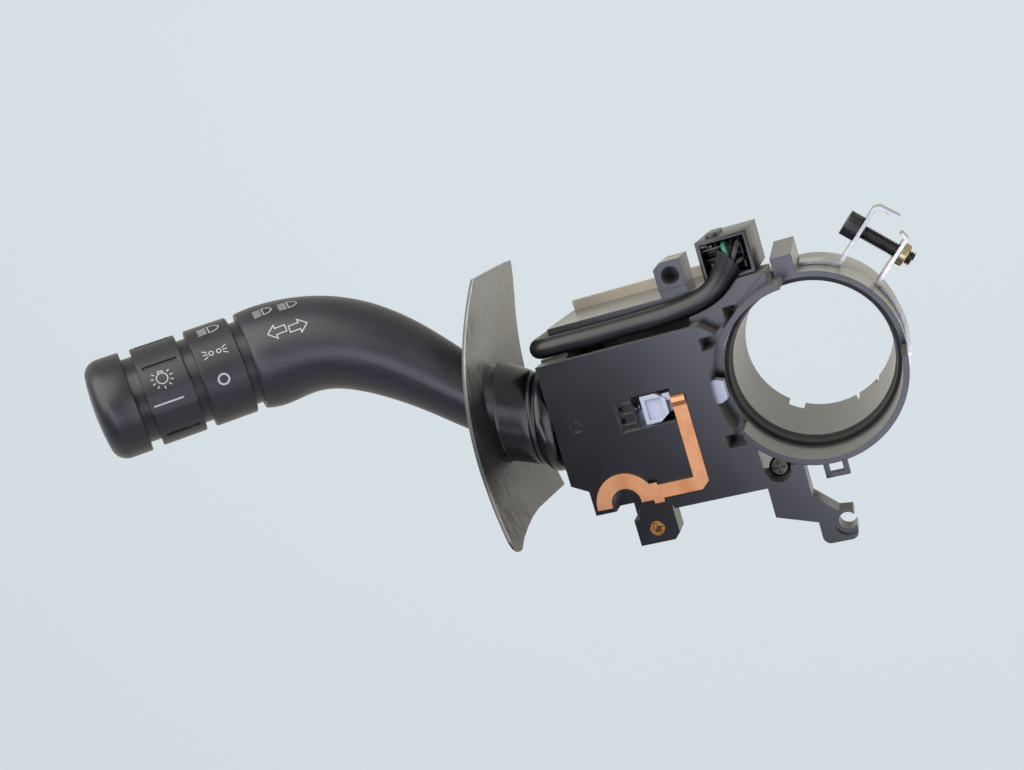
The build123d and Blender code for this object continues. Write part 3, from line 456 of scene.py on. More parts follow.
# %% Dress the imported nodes
dressed = {
    "switch_housing": housing_pbt, "guide_ring": guide_pom, "clamp_band": band_steel,
    "brass_insert": brass, "plate_screw": dark_zinc,
    "contact_strip": copper, "terminal_board": board, "fixed_contacts": brass,
    "board_screws": screw_steel, "connector_terminals": shaded_tin,
    "turn_carrier": acetal, "turn_wiper": copper, "dip_pin": screw_steel, "detent_spring": spring_steel,
    "lever_root": stalk_abs, "stalk_body": stalk_abs, "stalk_core": core_pa,
    "symbol_ring": knob_abs, "light_ring": knob_abs, "light_contact_disc": board,
    "light_wiper": copper, "cancel_pawl": acetal,
}

for name, finish in dressed.items():
    for holder in bpy.data.objects[name].material_slots:
        holder.material = finish
print("dressed", len(dressed), "packed nodes")

# %% [markdown]
# ## Modelling helpers
#
# Every new piece starts from a primitive and is shaped in edit mode. `alone` deselects all
# else first, because an operator acts on everything that is selected. `settle` writes the
# place of the object into its mesh, so that the piece sits at the origin like the packed
# nodes, and `apply_all` turns its modifiers into mesh.

# %% Modelling helpers
def alone(piece):
    """Leave only this object selected and active."""
    bpy.ops.object.select_all(action="DESELECT")
    piece.select_set(True)
    bpy.context.view_layer.objects.active = piece


def settle(piece, name, finish):
    """Name the piece, write its place into its mesh and give it its finish."""
    alone(piece)
    bpy.ops.object.transform_apply(location=True, rotation=True, scale=True)
    piece.name = name
    piece.data.name = name
    piece.data.materials.clear()
    piece.data.materials.append(finish)
    return piece


def apply_all(piece):
    """Apply every modifier of the piece in order."""
    alone(piece)
    for modifier in list(piece.modifiers):
        bpy.ops.object.modifier_apply(modifier=modifier.name)


def smooth(piece, degrees):
    """Smooth shading below an angle."""
    alone(piece)
    bpy.ops.object.shade_smooth_by_angle(angle=math.radians(degrees))


def facing(direction):
    """Rotation whose Z axis is the direction and whose X axis lies towards the column's +Z."""
    column = Vector((0, 0, 1))
    z = Vector(direction).normalized()
    x = (column - z * column.dot(z)).normalized()
    return Matrix((x, z.cross(x), z)).transposed()


print("helpers: alone, settle, apply_all, smooth, facing")

# %% [markdown]
# ## Rubber boot
#
# The boot closes the gap between the housing and the lever. It leaves the housing as a round
# fold, narrows at two fine grooves and widens as a cone to a lip that leans on the cover.
# A lathe would need one straight axis, and this boot bends upwards. So it is drawn as a row
# of rings: one circle is extruded again and again, each time moved to the next centre and
# scaled to the next radius. A wall thickness and one subdivision finish it.

# %% Boot rings
WELD, WIDE_WELD = 0.001 * MM, 0.002 * MM
BOOT_FACING = (-0.991, 0.125, 0.035)
BOOT_WALL = 0.8
# Each ring is its centre and its radius, in mm.
boot_rings = [
    ((-69.9, -0.5, -13.2), 12.0), ((-70.3, -0.2, -13.2), 12.7), ((-71.2, 0.4, -13.0), 13.4),
    ((-72.2, 1.0, -12.8), 13.7), ((-73.2, 1.7, -12.6), 13.6), ((-73.9, 2.2, -12.4), 13.2),
    ((-74.25, 2.5, -12.3), 12.7), ((-74.5, 2.7, -12.2), 12.7), ((-74.8, 2.9, -12.1), 13.2),
    ((-75.3, 3.2, -12.0), 13.25), ((-75.6, 3.4, -11.9), 12.8), ((-75.85, 3.6, -11.8), 12.8),
    ((-76.15, 3.8, -11.7), 13.25), ((-77.2, 4.5, -11.3), 13.4), ((-79.4, 5.9, -10.4), 13.6),
    ((-81.8, 7.4, -9.4), 13.9), ((-82.4, 7.7, -9.2), 14.0), ((-82.65, 7.9, -9.1), 14.15),
    ((-82.85, 8.0, -9.0), 14.2), ((-82.95, 8.1, -9.0), 14.0), ((-82.9, 8.1, -9.0), 13.5),
]


def ringed(rings, direction, sides=72):
    """Open shell through a row of rings, all facing one direction."""
    turn = facing(direction).to_euler()
    bpy.ops.object.select_all(action="DESELECT")
    first, radius = Vector(rings[0][0]) * MM, rings[0][1]
    bpy.ops.mesh.primitive_circle_add(vertices=sides, radius=radius * MM, location=first, rotation=turn)
    shell = bpy.context.object
    bpy.ops.object.transform_apply(location=True, rotation=True, scale=True)
    bpy.ops.object.mode_set(mode="EDIT")
    bpy.ops.mesh.select_all(action="SELECT")
    for centre, wider in rings[1:]:
        here = Vector(centre) * MM
        bpy.ops.mesh.extrude_edges_move(TRANSFORM_OT_translate={"value": here - first})
        bpy.ops.transform.resize(value=(wider / radius,) * 3, center_override=here)
        first, radius = here, wider
    bpy.ops.mesh.select_all(action="SELECT")
    bpy.ops.mesh.remove_doubles(threshold=WELD)
    bpy.ops.mesh.normals_make_consistent(inside=False)
    bpy.ops.object.mode_set(mode="OBJECT")
    return shell


def walled(piece, wall_mm, side):
    """Give a shell a wall: side is -1 for inwards and 1 for outwards of its faces."""
    wall = piece.modifiers.new("wall", "SOLIDIFY")
    wall.thickness, wall.offset = wall_mm * MM, side


boot = settle(ringed(boot_rings, BOOT_FACING), "boot_moulding", boot_epdm)
walled(boot, BOOT_WALL, -1.0)
rounding = boot.modifiers.new("rounding", "SUBSURF")
rounding.levels = rounding.render_levels = 1
apply_all(boot)
smooth(boot, 60)
print("boot faces:", len(boot.data.polygons))

# %% [markdown]
# The lever has two motions: it turns with the carrier, and it is pulled about a second pin. A soft
# piece bends across one joint, so the boot is parted at the bottom of its second groove, where no seam
# shows, into a fold and a cone.

# %% Part the boot
GROOVE = Vector((-75.72, 3.5, -11.85)) * MM
ALONG = Vector(BOOT_FACING).normalized()


def pick_faces(piece, wanted):
    """Go to edit mode with only the wanted faces selected."""
    alone(piece)
    bpy.ops.object.mode_set(mode="EDIT")
    bpy.ops.mesh.select_mode(type="FACE")
    bpy.ops.mesh.select_all(action="DESELECT")
    bpy.ops.object.mode_set(mode="OBJECT")
    for face in piece.data.polygons:
        face.select = wanted(face)
    bpy.ops.object.mode_set(mode="EDIT")


pick_faces(boot, lambda face: (face.center - GROOVE).dot(ALONG) > 0)
bpy.ops.mesh.separate(type="SELECTED")
bpy.ops.mesh.select_mode(type="VERT")
bpy.ops.object.mode_set(mode="OBJECT")
cone = next(piece for piece in bpy.context.selected_objects if piece != boot)
cone.name = cone.data.name = "boot_cone"
for piece in (boot, cone):
    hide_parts("rubber_boot")
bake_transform(boot)
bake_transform(cone)
print("fold and cone faces:", len(boot.data.polygons), len(cone.data.polygons))

# %% [markdown]
# ## Harness sleeve
#
# A PVC sleeve gathers the wires and lies in the rebate along the top edge. It is a soft tube
# of one length, so a NURBS curve with a round bevel is the natural start. The curve keeps
# the bends smooth, and each point has its own width, because the tube swells a little where
# the wires cross inside it and flares at its mouth.

# %% Sleeve tube
def soft_tube(name, points, radius_mm, finish, sides):
    """Round tube along one open NURBS spline. Each point is a place in mm and a width factor."""
    line = bpy.data.curves.new(name, "CURVE")
    line.dimensions = "3D"
    spline = line.splines.new("NURBS")
    spline.points.add(len(points) - 1)
    for target, (x, y, z, width) in zip(spline.points, points):
        target.co = (x * MM, y * MM, z * MM, 1.0)
        target.radius = width
    spline.order_u = 3
    spline.use_endpoint_u = True
    spline.resolution_u = 8
    line.bevel_depth = radius_mm * MM
    line.bevel_resolution = sides
    line.use_fill_caps = True
    piece = bpy.data.objects.new(name, line)
    bpy.context.collection.objects.link(piece)
    alone(piece)
    bpy.ops.object.convert(target="MESH")
    return settle(bpy.context.object, name, finish)


SLEEVE_R, SLEEVE_WALL = 2.75, 0.5
# Each point is a place in mm and a width factor, from the board up to the connector.
sleeve_route = [
    (-68.5, 22.7, -38.0, 1.0), (-68.4, 22.6, -24.0, 1.0), (-68.5, 22.7, -12.0, 1.0),
    (-68.5, 22.7, -7.2, 1.0), (-67.2, 22.7, -5.4, 1.0), (-61.0, 22.8, -5.4, 0.98),
    (-52.0, 22.6, -5.5, 1.04), (-44.0, 22.8, -5.4, 0.98), (-36.0, 22.8, -5.4, 1.06),
    (-29.0, 23.3, -5.5, 1.02), (-22.5, 24.2, -5.4, 1.06), (-18.0, 26.0, -5.4, 1.10),
    (-15.2, 28.7, -5.4, 1.18), (-12.9, 31.2, -5.3, 1.34), (-10.6, 34.6, -5.2, 1.5),
]
sleeve = soft_tube("harness_sleeve_tube", sleeve_route, SLEEVE_R, sleeve_pvc, 8)
print("sleeve points:", len(sleeve_route))

# %% [markdown]
# The mouth is cut at a slant with a bisect, which also removes the cap and leaves the tube
# open. A thin inner wall then makes it a real sleeve.

# %% Sleeve mouth
MOUTH_AT = Vector((-12.6, 32.0, -5.3)) * MM
MOUTH_FACING = Vector((0.776, 0.529, -0.345)).normalized()

bpy.ops.object.mode_set(mode="EDIT")
bpy.ops.mesh.select_all(action="SELECT")
bpy.ops.mesh.bisect(plane_co=MOUTH_AT, plane_no=MOUTH_FACING, clear_outer=True, use_fill=False)
bpy.ops.object.mode_set(mode="OBJECT")
walled(sleeve, SLEEVE_WALL, -1.0)
apply_all(sleeve)
smooth(sleeve, 50)
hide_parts("harness_sleeve")
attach(sleeve, "housing")
print("sleeve faces:", len(sleeve.data.polygons))

# %% [markdown]
# ## Wires
#
# Six thin wires leave the sleeve: four go up into the connector, two to the board. They are
# the same kind of curve, thinner. One of the four is green.

# %% Wires
WIRE_R, GREEN_WIRE = 0.68, 3
wire_routes = [
    [(-12.05, 31.84, -4.1), (-11.0, 33.0, -4.0), (-9.4, 36.3, -5.8), (-9.4, 36.4, -11.6)],
    [(-11.16, 30.9, -5.4), (-9.8, 31.9, -5.4), (-9.4, 31.6, -8.0), (-9.4, 31.4, -11.6)],
    [(-12.94, 32.78, -5.4), (-12.6, 34.6, -4.9), (-13.4, 36.5, -6.4), (-13.4, 36.4, -11.6)],
    [(-12.05, 31.84, -6.7), (-11.8, 32.6, -7.4), (-13.2, 31.8, -8.6), (-13.4, 31.4, -11.6)],
    [
        (-67.6, 22.7, -38.3), (-67.4, 22.4, -42.0), (-65.0, 18.0, -44.0),
        (-60.8, 8.0, -43.8), (-60.5, -2.2, -43.7),
    ],
    [
        (-69.4, 22.7, -38.3), (-69.0, 22.8, -43.4), (-62.0, 21.5, -45.6),
        (-44.0, 10.0, -45.4), (-37.0, -0.8, -43.7),
    ],
]
wires = []
for number, route in enumerate(wire_routes, 1):
    finish = wire_green if number == GREEN_WIRE else wire_pvc
    points = [(*point, 1.0) for point in route]
    wires.append(soft_tube("harness_wire_%d" % number, points, WIRE_R, finish, 3))
    smooth(wires[-1], 50)
for wire in wires:
    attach(wire, "housing")
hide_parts("harness_wires")
print("wires:", len(wires))

# %% [markdown]
# ## Clamp screw
#
# An M4 socket head screw in black oxide pulls the band together. Its knurled head, hexagon
# socket and rolled thread are all real geometry, since the screw lies open between the two
# ears. The thread is one V-shaped tooth, repeated as a helix by the Screw modifier at the
# 0.7 mm pitch.

# %% Knurled head
SCREW_AT = Vector((24.314, 23.479, -30.0)) * MM
SCREW_AXIS = Vector((-0.69466, 0.71934, 0.0))
HEAD_FACE, HEAD_R, HEAD_H = 7.35, 3.5, 4.0
KNURL_SIDES, KNURL_DEPTH, FACE_RIM = 96, 0.14, 0.45

bpy.ops.object.select_all(action="DESELECT")
bpy.ops.mesh.primitive_cylinder_add(
    vertices=KNURL_SIDES, radius=HEAD_R * MM, depth=HEAD_H * MM,
    location=(0, 0, (HEAD_FACE + HEAD_H / 2) * MM),
)
head = bpy.context.object
bpy.ops.object.transform_apply(location=True, rotation=True, scale=True)
pick_faces(head, lambda face: face.normal.z > 0.9)
bpy.ops.mesh.inset(thickness=FACE_RIM * MM)
bpy.ops.mesh.select_mode(type="VERT")
bpy.ops.object.mode_set(mode="OBJECT")
step = 2 * math.pi / KNURL_SIDES
for corner in head.data.vertices:
    on_rim = math.hypot(corner.co.x, corner.co.y) > (HEAD_R - 0.1) * MM
    if on_rim and round(math.atan2(corner.co.y, corner.co.x) / step) % 2:
        corner.co.x *= 1 - KNURL_DEPTH / HEAD_R
        corner.co.y *= 1 - KNURL_DEPTH / HEAD_R
edge_round = head.modifiers.new("edge", "BEVEL")
edge_round.width, edge_round.segments, edge_round.angle_limit = 0.2 * MM, 2, math.radians(50)
apply_all(head)
print("knurled head faces:", len(head.data.polygons))

# %% [markdown]
# The hexagon socket is cut with a Boolean by a six-sided prism, as a broach cuts the real
# one. A hexagon is measured across its flats, and its corners lie further out.

# %% Hexagon socket
KEY_SIZE, SOCKET_DEEP = 3.0, 2.4

bpy.ops.object.select_all(action="DESELECT")
bpy.ops.mesh.primitive_cylinder_add(
    vertices=6, radius=KEY_SIZE / 2 / math.cos(math.pi / 6) * MM, depth=2 * SOCKET_DEEP * MM,
    location=(0, 0, (HEAD_FACE + HEAD_H) * MM),
)
broach = bpy.context.object
cut = head.modifiers.new("socket", "BOOLEAN")
cut.operation, cut.solver, cut.object = "DIFFERENCE", "EXACT", broach
apply_all(head)
alone(broach)
bpy.ops.object.delete()
print("head with socket:", len(head.data.polygons), "faces")

# %% [markdown]
# The thread starts as the outline of one tooth: a short flat root, a steep flank up to a
# narrow crest, and the flank down. Wound up at the pitch, each turn ends where the next one
# starts, and the merge makes them one surface. It is wound longer than needed, then cut to
# length by two bisects, which also close its ends.

# %% Rolled thread
SHANK_R, SHANK_LEN, PITCH = 2.0, 16.0, 0.7
TOOTH_ROOT, CREST = SHANK_R - 0.40, SHANK_R - 0.02
TURNS, FIRST_CUT = 22, 0.45

tooth = bpy.data.curves.new("thread_tooth", "CURVE")
tooth.dimensions = "3D"
flank = tooth.splines.new("POLY")
flank.points.add(3)
tooth_line = [(TOOTH_ROOT, 0.0), (TOOTH_ROOT, 0.09), (CREST, 0.40), (TOOTH_ROOT, PITCH)]
for target, (reach, height) in zip(flank.points, tooth_line):
    target.co = (reach * MM, 0, height * MM, 1.0)
shank = bpy.data.objects.new("thread", tooth)
bpy.context.collection.objects.link(shank)
alone(shank)
bpy.ops.object.convert(target="MESH")
shank = bpy.context.object
helix = shank.modifiers.new("helix", "SCREW")
helix.axis, helix.screw_offset, helix.iterations = "Z", PITCH * MM, TURNS
helix.steps = helix.render_steps = 28
helix.use_merge_vertices, helix.merge_threshold = True, 0.005 * MM
helix.use_normal_calculate = True
apply_all(shank)
bpy.ops.object.mode_set(mode="EDIT")
for height, way in ((FIRST_CUT, -1), (SHANK_LEN + FIRST_CUT, 1)):
    bpy.ops.mesh.select_all(action="SELECT")
    bpy.ops.mesh.bisect(
        plane_co=(0, 0, height * MM), plane_no=(0, 0, way), clear_outer=True, use_fill=True
    )
bpy.ops.mesh.select_all(action="SELECT")
bpy.ops.mesh.normals_make_consistent(inside=False)
bpy.ops.object.mode_set(mode="OBJECT")
shank.location = (0, 0, (HEAD_FACE - SHANK_LEN - FIRST_CUT) * MM)
bpy.ops.object.transform_apply(location=True, rotation=True, scale=True)
print("thread turns:", round(SHANK_LEN / PITCH, 1), "faces:", len(shank.data.polygons))

# %% [markdown]
# Head and thread are modelled upright and joined, and only then turned to the screw's own
# axis across the two ears of the band.

# %% Finish the screw
alone(head)
shank.select_set(True)
bpy.ops.object.join()
screw = bpy.context.object
screw.matrix_world = Matrix.Translation(SCREW_AT) @ facing(SCREW_AXIS).to_4x4()
screw = settle(screw, "clamp_screw_m4", black_oxide)
smooth(screw, 30)
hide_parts("clamp_screw")
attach(screw, "housing")
print("clamp screw faces:", len(screw.data.polygons))

# %% [markdown]
# ## Slot cover
#
# A thin bowed sheet rides on the lever and hides the slot in the column shroud. Sheet parts
# like this are stamped flat and formed, so the model goes the same way: a fine grid stands
# on edge, takes the bow of a circle, gets its thickness, and is trimmed by a prism of the
# stamped outline. A round punch makes the hole for the lever.

# %% Bowed sheet
bpy.ops.object.select_all(action="DESELECT")
bpy.ops.mesh.primitive_grid_add(
    x_subdivisions=48, y_subdivisions=64, size=1.0, location=(0, 12.0 * MM, -10.0 * MM),
    rotation=(0, math.radians(90), 0),
)
sheet = bpy.context.object
sheet.scale = (80 * MM, 84 * MM, 1)
bpy.ops.object.transform_apply(location=True, rotation=True, scale=True)
for corner in sheet.data.vertices:
    rise = corner.co.y / MM - BOW_CENTRE[1]
    corner.co.x = (BOW_CENTRE[0] - math.sqrt(BOW_R ** 2 - rise ** 2)) * MM
print("sheet bow from x", round(min(v.co.x for v in sheet.data.vertices) / MM, 2), "mm")

# %% [markdown]
# The wall grows towards the housing.

# %% Sheet wall
walled(sheet, COVER_T, 1.0)
apply_all(sheet)
bpy.ops.object.mode_set(mode="EDIT")
bpy.ops.mesh.select_all(action="SELECT")
bpy.ops.mesh.normals_make_consistent(inside=False)
bpy.ops.object.mode_set(mode="OBJECT")
reach = [v.co.x for v in sheet.data.vertices]
print("sheet from", round(min(reach) / MM, 2), "to", round(max(reach) / MM, 2), "mm")

# %% [markdown]
# The stamped outline is a closed poly curve. Extruded on both sides it becomes a prism, which stands
# across the sheet. The upper and lower rear corners are rounded with a few points, as a stamp's corners
# are.

# %% Stamp prism
# Each point is Y and Z in mm, from the upper front corner round the edge near the driver.
outline = [
    (46.4, 3.0), (40.2, 5.6), (33.6, 8.2), (27.0, 10.4), (20.6, 12.2), (14.4, 13.5), (8.0, 14.8),
    (0.4, 16.2), (-7.0, 17.4), (-14.2, 18.9), (-21.0, 20.6), (-22.9, 20.3), (-24.2, 18.9),
    (-24.3, 17.0), (-22.9, 12.4), (-21.8, 6.0), (-21.0, -1.0), (-20.8, -8.0), (-21.6, -22.0),
    (-22.4, -35.0), (-4.0, -38.4), (15.0, -41.5), (27.0, -40.3), (36.5, -38.5), (41.2, -36.6),
    (45.2, -33.6), (46.6, -32.2), (46.9, -30.6), (46.8, -16.0),
]
stamp = bpy.data.curves.new("stamp", "CURVE")
stamp.dimensions = "2D"
stamp.fill_mode = "BOTH"
stamp.extrude = 15 * MM
edge = stamp.splines.new("POLY")
edge.points.add(len(outline) - 1)
for target, (y, z) in zip(edge.points, outline):
    target.co = (y * MM, z * MM, 0, 1)
edge.use_cyclic_u = True
prism = bpy.data.objects.new("stamp", stamp)
bpy.context.collection.objects.link(prism)
alone(prism)
bpy.ops.object.convert(target="MESH")
prism = bpy.context.object
prism.matrix_world = Matrix(((0, 0, 1, -80 * MM), (1, 0, 0, 0), (0, 1, 0, 0), (0, 0, 0, 1)))
bpy.ops.object.transform_apply(location=True, rotation=True, scale=True)
bpy.ops.object.mode_set(mode="EDIT")
bpy.ops.mesh.select_all(action="SELECT")
bpy.ops.mesh.remove_doubles(threshold=WELD)
bpy.ops.mesh.normals_make_consistent(inside=False)
bpy.ops.object.mode_set(mode="OBJECT")
print("stamp corners:", len(outline))

# %% [markdown]
# The sheet keeps what lies inside the prism, and a cylinder along the lever's root punches
# the hole. The tools are deleted after use.

# %% Trim and punch the sheet
ROOT_END = Vector((-82.02, 8.71, -10.0)) * MM
ROOT_WAY = Vector((-31.0, 17.7, 7.0)).normalized()
HOLE_R = 9.4

bpy.ops.object.select_all(action="DESELECT")
bpy.ops.mesh.primitive_cylinder_add(
    vertices=64, radius=HOLE_R * MM, depth=24 * MM, location=ROOT_END,
    rotation=facing(ROOT_WAY).to_euler(),
)
punch = bpy.context.object
for operation, tool in (("INTERSECT", prism), ("DIFFERENCE", punch)):
    trim = sheet.modifiers.new(operation.lower(), "BOOLEAN")
    trim.operation, trim.solver, trim.object = operation, "EXACT", tool
apply_all(sheet)
alone(prism)
punch.select_set(True)
bpy.ops.object.delete()
cover = settle(sheet, "slot_cover_sheet", cover_sheet)
smooth(cover, 30)
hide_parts("slot_cover")
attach(cover, "lever")
print("cover faces:", len(cover.data.polygons))

# %% [markdown]
# ## End cap
#
# The push cap is a hollow moulding: a skirt over the core, a broad rounded shoulder, a slight
# dome and a stem inside. All its rings share one axis, so the same row of rings that made
# the boot gives its closed section. The profile runs from the foot of the stem, up and out
# under the dome, down inside the skirt, round its edge, and back over the shoulder.

# %% End cap
KNOB_DIR = Vector((-0.82, -0.02, 0.572)).normalized()
STALK_TIP = Vector((-144.9, 42.0, 8.3)) * MM


def on_axis(t, radius):
    """Ring on the knob axis at a distance from the end of the stalk."""
    return tuple(STALK_TIP / MM + KNOB_DIR * t), radius


SHOULDER_AT, SHOULDER_IN, SHOULDER_R = 38.2, 9.6, 4.4
leans = [math.radians(degrees) for degrees in range(0, 80, 8)]
shoulder = [
    (SHOULDER_AT + SHOULDER_R * math.sin(a), SHOULDER_IN + SHOULDER_R * math.cos(a)) for a in leans
]
cap_profile = [
    (24.0, 0.02), (24.0, 3.7), (24.3, 4.0), (39.4, 4.0), (39.8, 4.4), (39.8, 11.7), (39.4, 12.1),
    (32.7, 12.1), (32.4, 12.4), (32.4, 13.7), (32.5, 13.9), (32.7, 14.0), *shoulder,
    (42.8, 8.4), (43.1, 5.4), (43.25, 2.6), (43.3, 0.02),
]
cap = ringed([on_axis(t, radius) for t, radius in cap_profile], KNOB_DIR, 96)
cap = settle(cap, "end_cap_moulding", knob_abs)
smooth(cap, 30)
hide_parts("end_cap")
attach(cap, "cap")
print("cap faces:", len(cap.data.polygons))

# %% [markdown]
# The core carries a thin collar into the skirt of the cap, so no light shows in the groove.

# %% Core collar
collar_profile = [
    (30.4, 11.4), (30.4, 11.79), (36.4, 11.79), (36.6, 11.6), (36.6, 10.6), (30.4, 10.6), (30.4, 11.4),
]
collar = ringed([on_axis(t, radius) for t, radius in collar_profile], KNOB_DIR, 96)
collar = settle(collar, "core_collar", core_pa)
smooth(collar, 30)
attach(collar, "lever")
print("collar faces:", len(collar.data.polygons))

# %% [markdown]
# ## Clinch nut
#
# The far ear of the band carries a small round clinch nut, plated yellow. It is a ring
# section round the screw's axis: bore, chamfer, outside, chamfer and back to the bore.

# %% Clinch nut
nut_profile = [
    (-4.8, 2.03), (-4.8, 2.9), (-5.0, 3.1), (-6.6, 3.1), (-6.9, 2.8), (-6.9, 2.03), (-4.8, 2.03),
]
nut_rings = [(tuple(SCREW_AT / MM + SCREW_AXIS * t), radius) for t, radius in nut_profile]
nut = settle(ringed(nut_rings, SCREW_AXIS, 48), "clinch_nut", yellow_zinc)
smooth(nut, 30)
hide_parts("clamp_nut")
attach(nut, "housing")
print("nut faces:", len(nut.data.polygons))

# %% [markdown]
# ## Return springs
#
# Two coil springs give way when the cap or the pawl is pushed. A coil is a round wire section
# that the Screw modifier carries up a helix.

# %% Return coils
def coil(radius, wire, length, turns):
    """Coil spring along Z from the origin, in mm."""
    bpy.ops.object.select_all(action="DESELECT")
    bpy.ops.mesh.primitive_circle_add(
        vertices=10, radius=wire * MM, location=(radius * MM, 0, wire * MM),
        rotation=(math.radians(90), 0, 0),
    )
    spring = bpy.context.object
    bpy.ops.object.transform_apply(location=True, rotation=True, scale=True)
    wind = spring.modifiers.new("wind", "SCREW")
    wind.axis, wind.screw_offset, wind.iterations = "Z", (length - 2 * wire) / turns * MM, turns
    wind.steps = wind.render_steps = 24
    apply_all(spring)
    bpy.ops.object.mode_set(mode="EDIT")
    bpy.ops.mesh.select_all(action="SELECT")
    bpy.ops.mesh.remove_doubles(threshold=WIDE_WELD)
    bpy.ops.mesh.select_all(action="DESELECT")
    bpy.ops.mesh.select_non_manifold()
    bpy.ops.mesh.edge_face_add()
    bpy.ops.mesh.select_all(action="SELECT")
    bpy.ops.mesh.normals_make_consistent(inside=False)
    bpy.ops.object.mode_set(mode="OBJECT")
    return spring


def stand(spring, name, foot, direction):
    """Put a coil on its foot, turn it to its direction and finish it."""
    spring.matrix_world = Matrix.Translation(foot) @ facing(direction).to_4x4()
    spring = settle(spring, name, spring_steel)
    smooth(spring, 50)
    return spring


SPRING_FOOT = STALK_TIP + KNOB_DIR * 31.3 * MM
cap_coil = stand(coil(5.6, 0.35, 7.8, 5), "cap_return_coil", SPRING_FOOT, KNOB_DIR)
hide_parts("cap_spring")
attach(cap_coil, "lever")
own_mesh(cap_coil)

PAWL_FOOT = Vector((-52.7, 0.6, -6.6)) * MM
pawl_coil = stand(coil(1.2, 0.22, 7.2, 5), "pawl_return_coil", PAWL_FOOT, (1, 0, 0))
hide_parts("pawl_spring")
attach(pawl_coil, "housing")
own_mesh(pawl_coil)
print("coil faces:", len(cap_coil.data.polygons), len(pawl_coil.data.polygons))

# %% [markdown]
# ## Connector shell
#
# The harness ends in a six-way connector. Its shell is a box with a deep wire well in front
# and a mating well behind. Both wells are an inset and an extrusion of one face of a cube,
# the way a moulded pocket follows its core pin.

# %% Connector wells
def block(low, high):
    """Box between two corners in mm."""
    bpy.ops.object.select_all(action="DESELECT")
    middle = [(a + b) / 2 * MM for a, b in zip(low, high)]
    bpy.ops.mesh.primitive_cube_add(size=1.0, location=middle)
    made = bpy.context.object
    made.scale = [(b - a) * MM for a, b in zip(low, high)]
    bpy.ops.object.transform_apply(location=True, rotation=True, scale=True)
    return made


def pocket(piece, normal, wall_mm, depth_mm):
    """Sink a pocket with a wall of one width into the face that looks along the normal."""
    pick_faces(piece, lambda face: face.normal.dot(Vector(normal)) > 0.9)
    bpy.ops.mesh.inset(thickness=wall_mm * MM)
    sink = [-axis * depth_mm * MM for axis in normal]
    bpy.ops.mesh.extrude_region_move(TRANSFORM_OT_translate={"value": sink})
    bpy.ops.mesh.select_mode(type="VERT")
    bpy.ops.object.mode_set(mode="OBJECT")


shell = block((-20.5, 27.3, -37.0), (-7.0, 38.6, -9.0))
pocket(shell, (0, 0, 1), 1.1, 9.5)
pocket(shell, (0, 0, -1), 1.2, 12.0)
print("shell with two wells:", len(shell.data.polygons), "faces")

# %% [markdown]
# Inside the wire well, thin walls part the six chambers, a strap and a hook hold the wires,
# and a latch stands on the outside. They are small blocks, bevelled and joined to the shell.

# %% Connector fittings
fittings = [
    block((-9.6, 29.0, -18.0), (-8.9, 37.2, -10.2)),  # side wall of the well
    block((-19.2, 32.7, -18.5), (-8.2, 33.3, -12.5)),  # wall between the two rows
    block((-16.0, 28.5, -18.5), (-15.5, 37.4, -13.0)),  # walls between the columns
    block((-12.2, 28.5, -18.5), (-11.7, 37.4, -13.0)),
    block((-17.6, 38.4, -24.0), (-14.6, 39.8, -11.0)),  # latch
    block((-19.4, 35.4, -11.4), (-12.8, 36.2, -10.4)),  # wire strap
    block((-20.4, 36.6, -13.0), (-17.4, 37.4, -9.4)),  # wire hook
]
for piece in (shell, *fittings):
    rim = piece.modifiers.new("rim", "BEVEL")
    rim.width, rim.segments = 0.18 * MM, 2
    apply_all(piece)
alone(shell)
for piece in fittings:
    piece.select_set(True)
bpy.ops.object.join()
shell = settle(bpy.context.object, "connector_shell", connector_pbt)
smooth(shell, 40)
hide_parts("connector_housing")
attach(shell, "housing")
print("connector faces:", len(shell.data.polygons))

# %% [markdown]
# ## Printed symbols
#
# The lever has the common light and turn pictograms, pad-printed in pale ink. An ink film is
# a thin skin on its host, so each symbol is drawn flat with strokes, moved in front of the
# host, and wrapped onto it by the Shrinkwrap modifier along its own Z axis.
#
# Places on the knob are given as a distance along its axis and an angle round it.

# %% Places on the knob
SIDE_X = (Vector((0, 1, 0)) - KNOB_DIR * KNOB_DIR.y).normalized()
SIDE_Y = KNOB_DIR.cross(SIDE_X)
OUTSIDE, INK_FILM = 24.0, 0.03


def on_knob(along_mm, angle):
    """Point outside the knob at a distance along its axis and an angle, and the way out."""
    turn = math.radians(angle)
    out = SIDE_X * math.cos(turn) + SIDE_Y * math.sin(turn)
    return STALK_TIP + KNOB_DIR * along_mm * MM + out * OUTSIDE * MM, out


print("knob axis", tuple(round(v, 3) for v in KNOB_DIR))

# %% [markdown]
# A stroke is a poly curve with a flat strip as its bevel profile, which gives clean mitred
# corners. The strokes of a symbol become one mesh, cut finely enough to follow the round host.

# %% Strokes and prints
def strip_profile(width_mm):
    """Flat strip that a stroke carries as its bevel profile."""
    line = bpy.data.curves.new("strip", "CURVE")
    line.dimensions = "2D"
    strip = line.splines.new("POLY")
    strip.points.add(1)
    strip.points[0].co = (-width_mm / 2 * MM, 0, 0, 1)
    strip.points[1].co = (width_mm / 2 * MM, 0, 0, 1)
    holder = bpy.data.objects.new("strip", line)
    bpy.context.collection.objects.link(holder)
    return holder


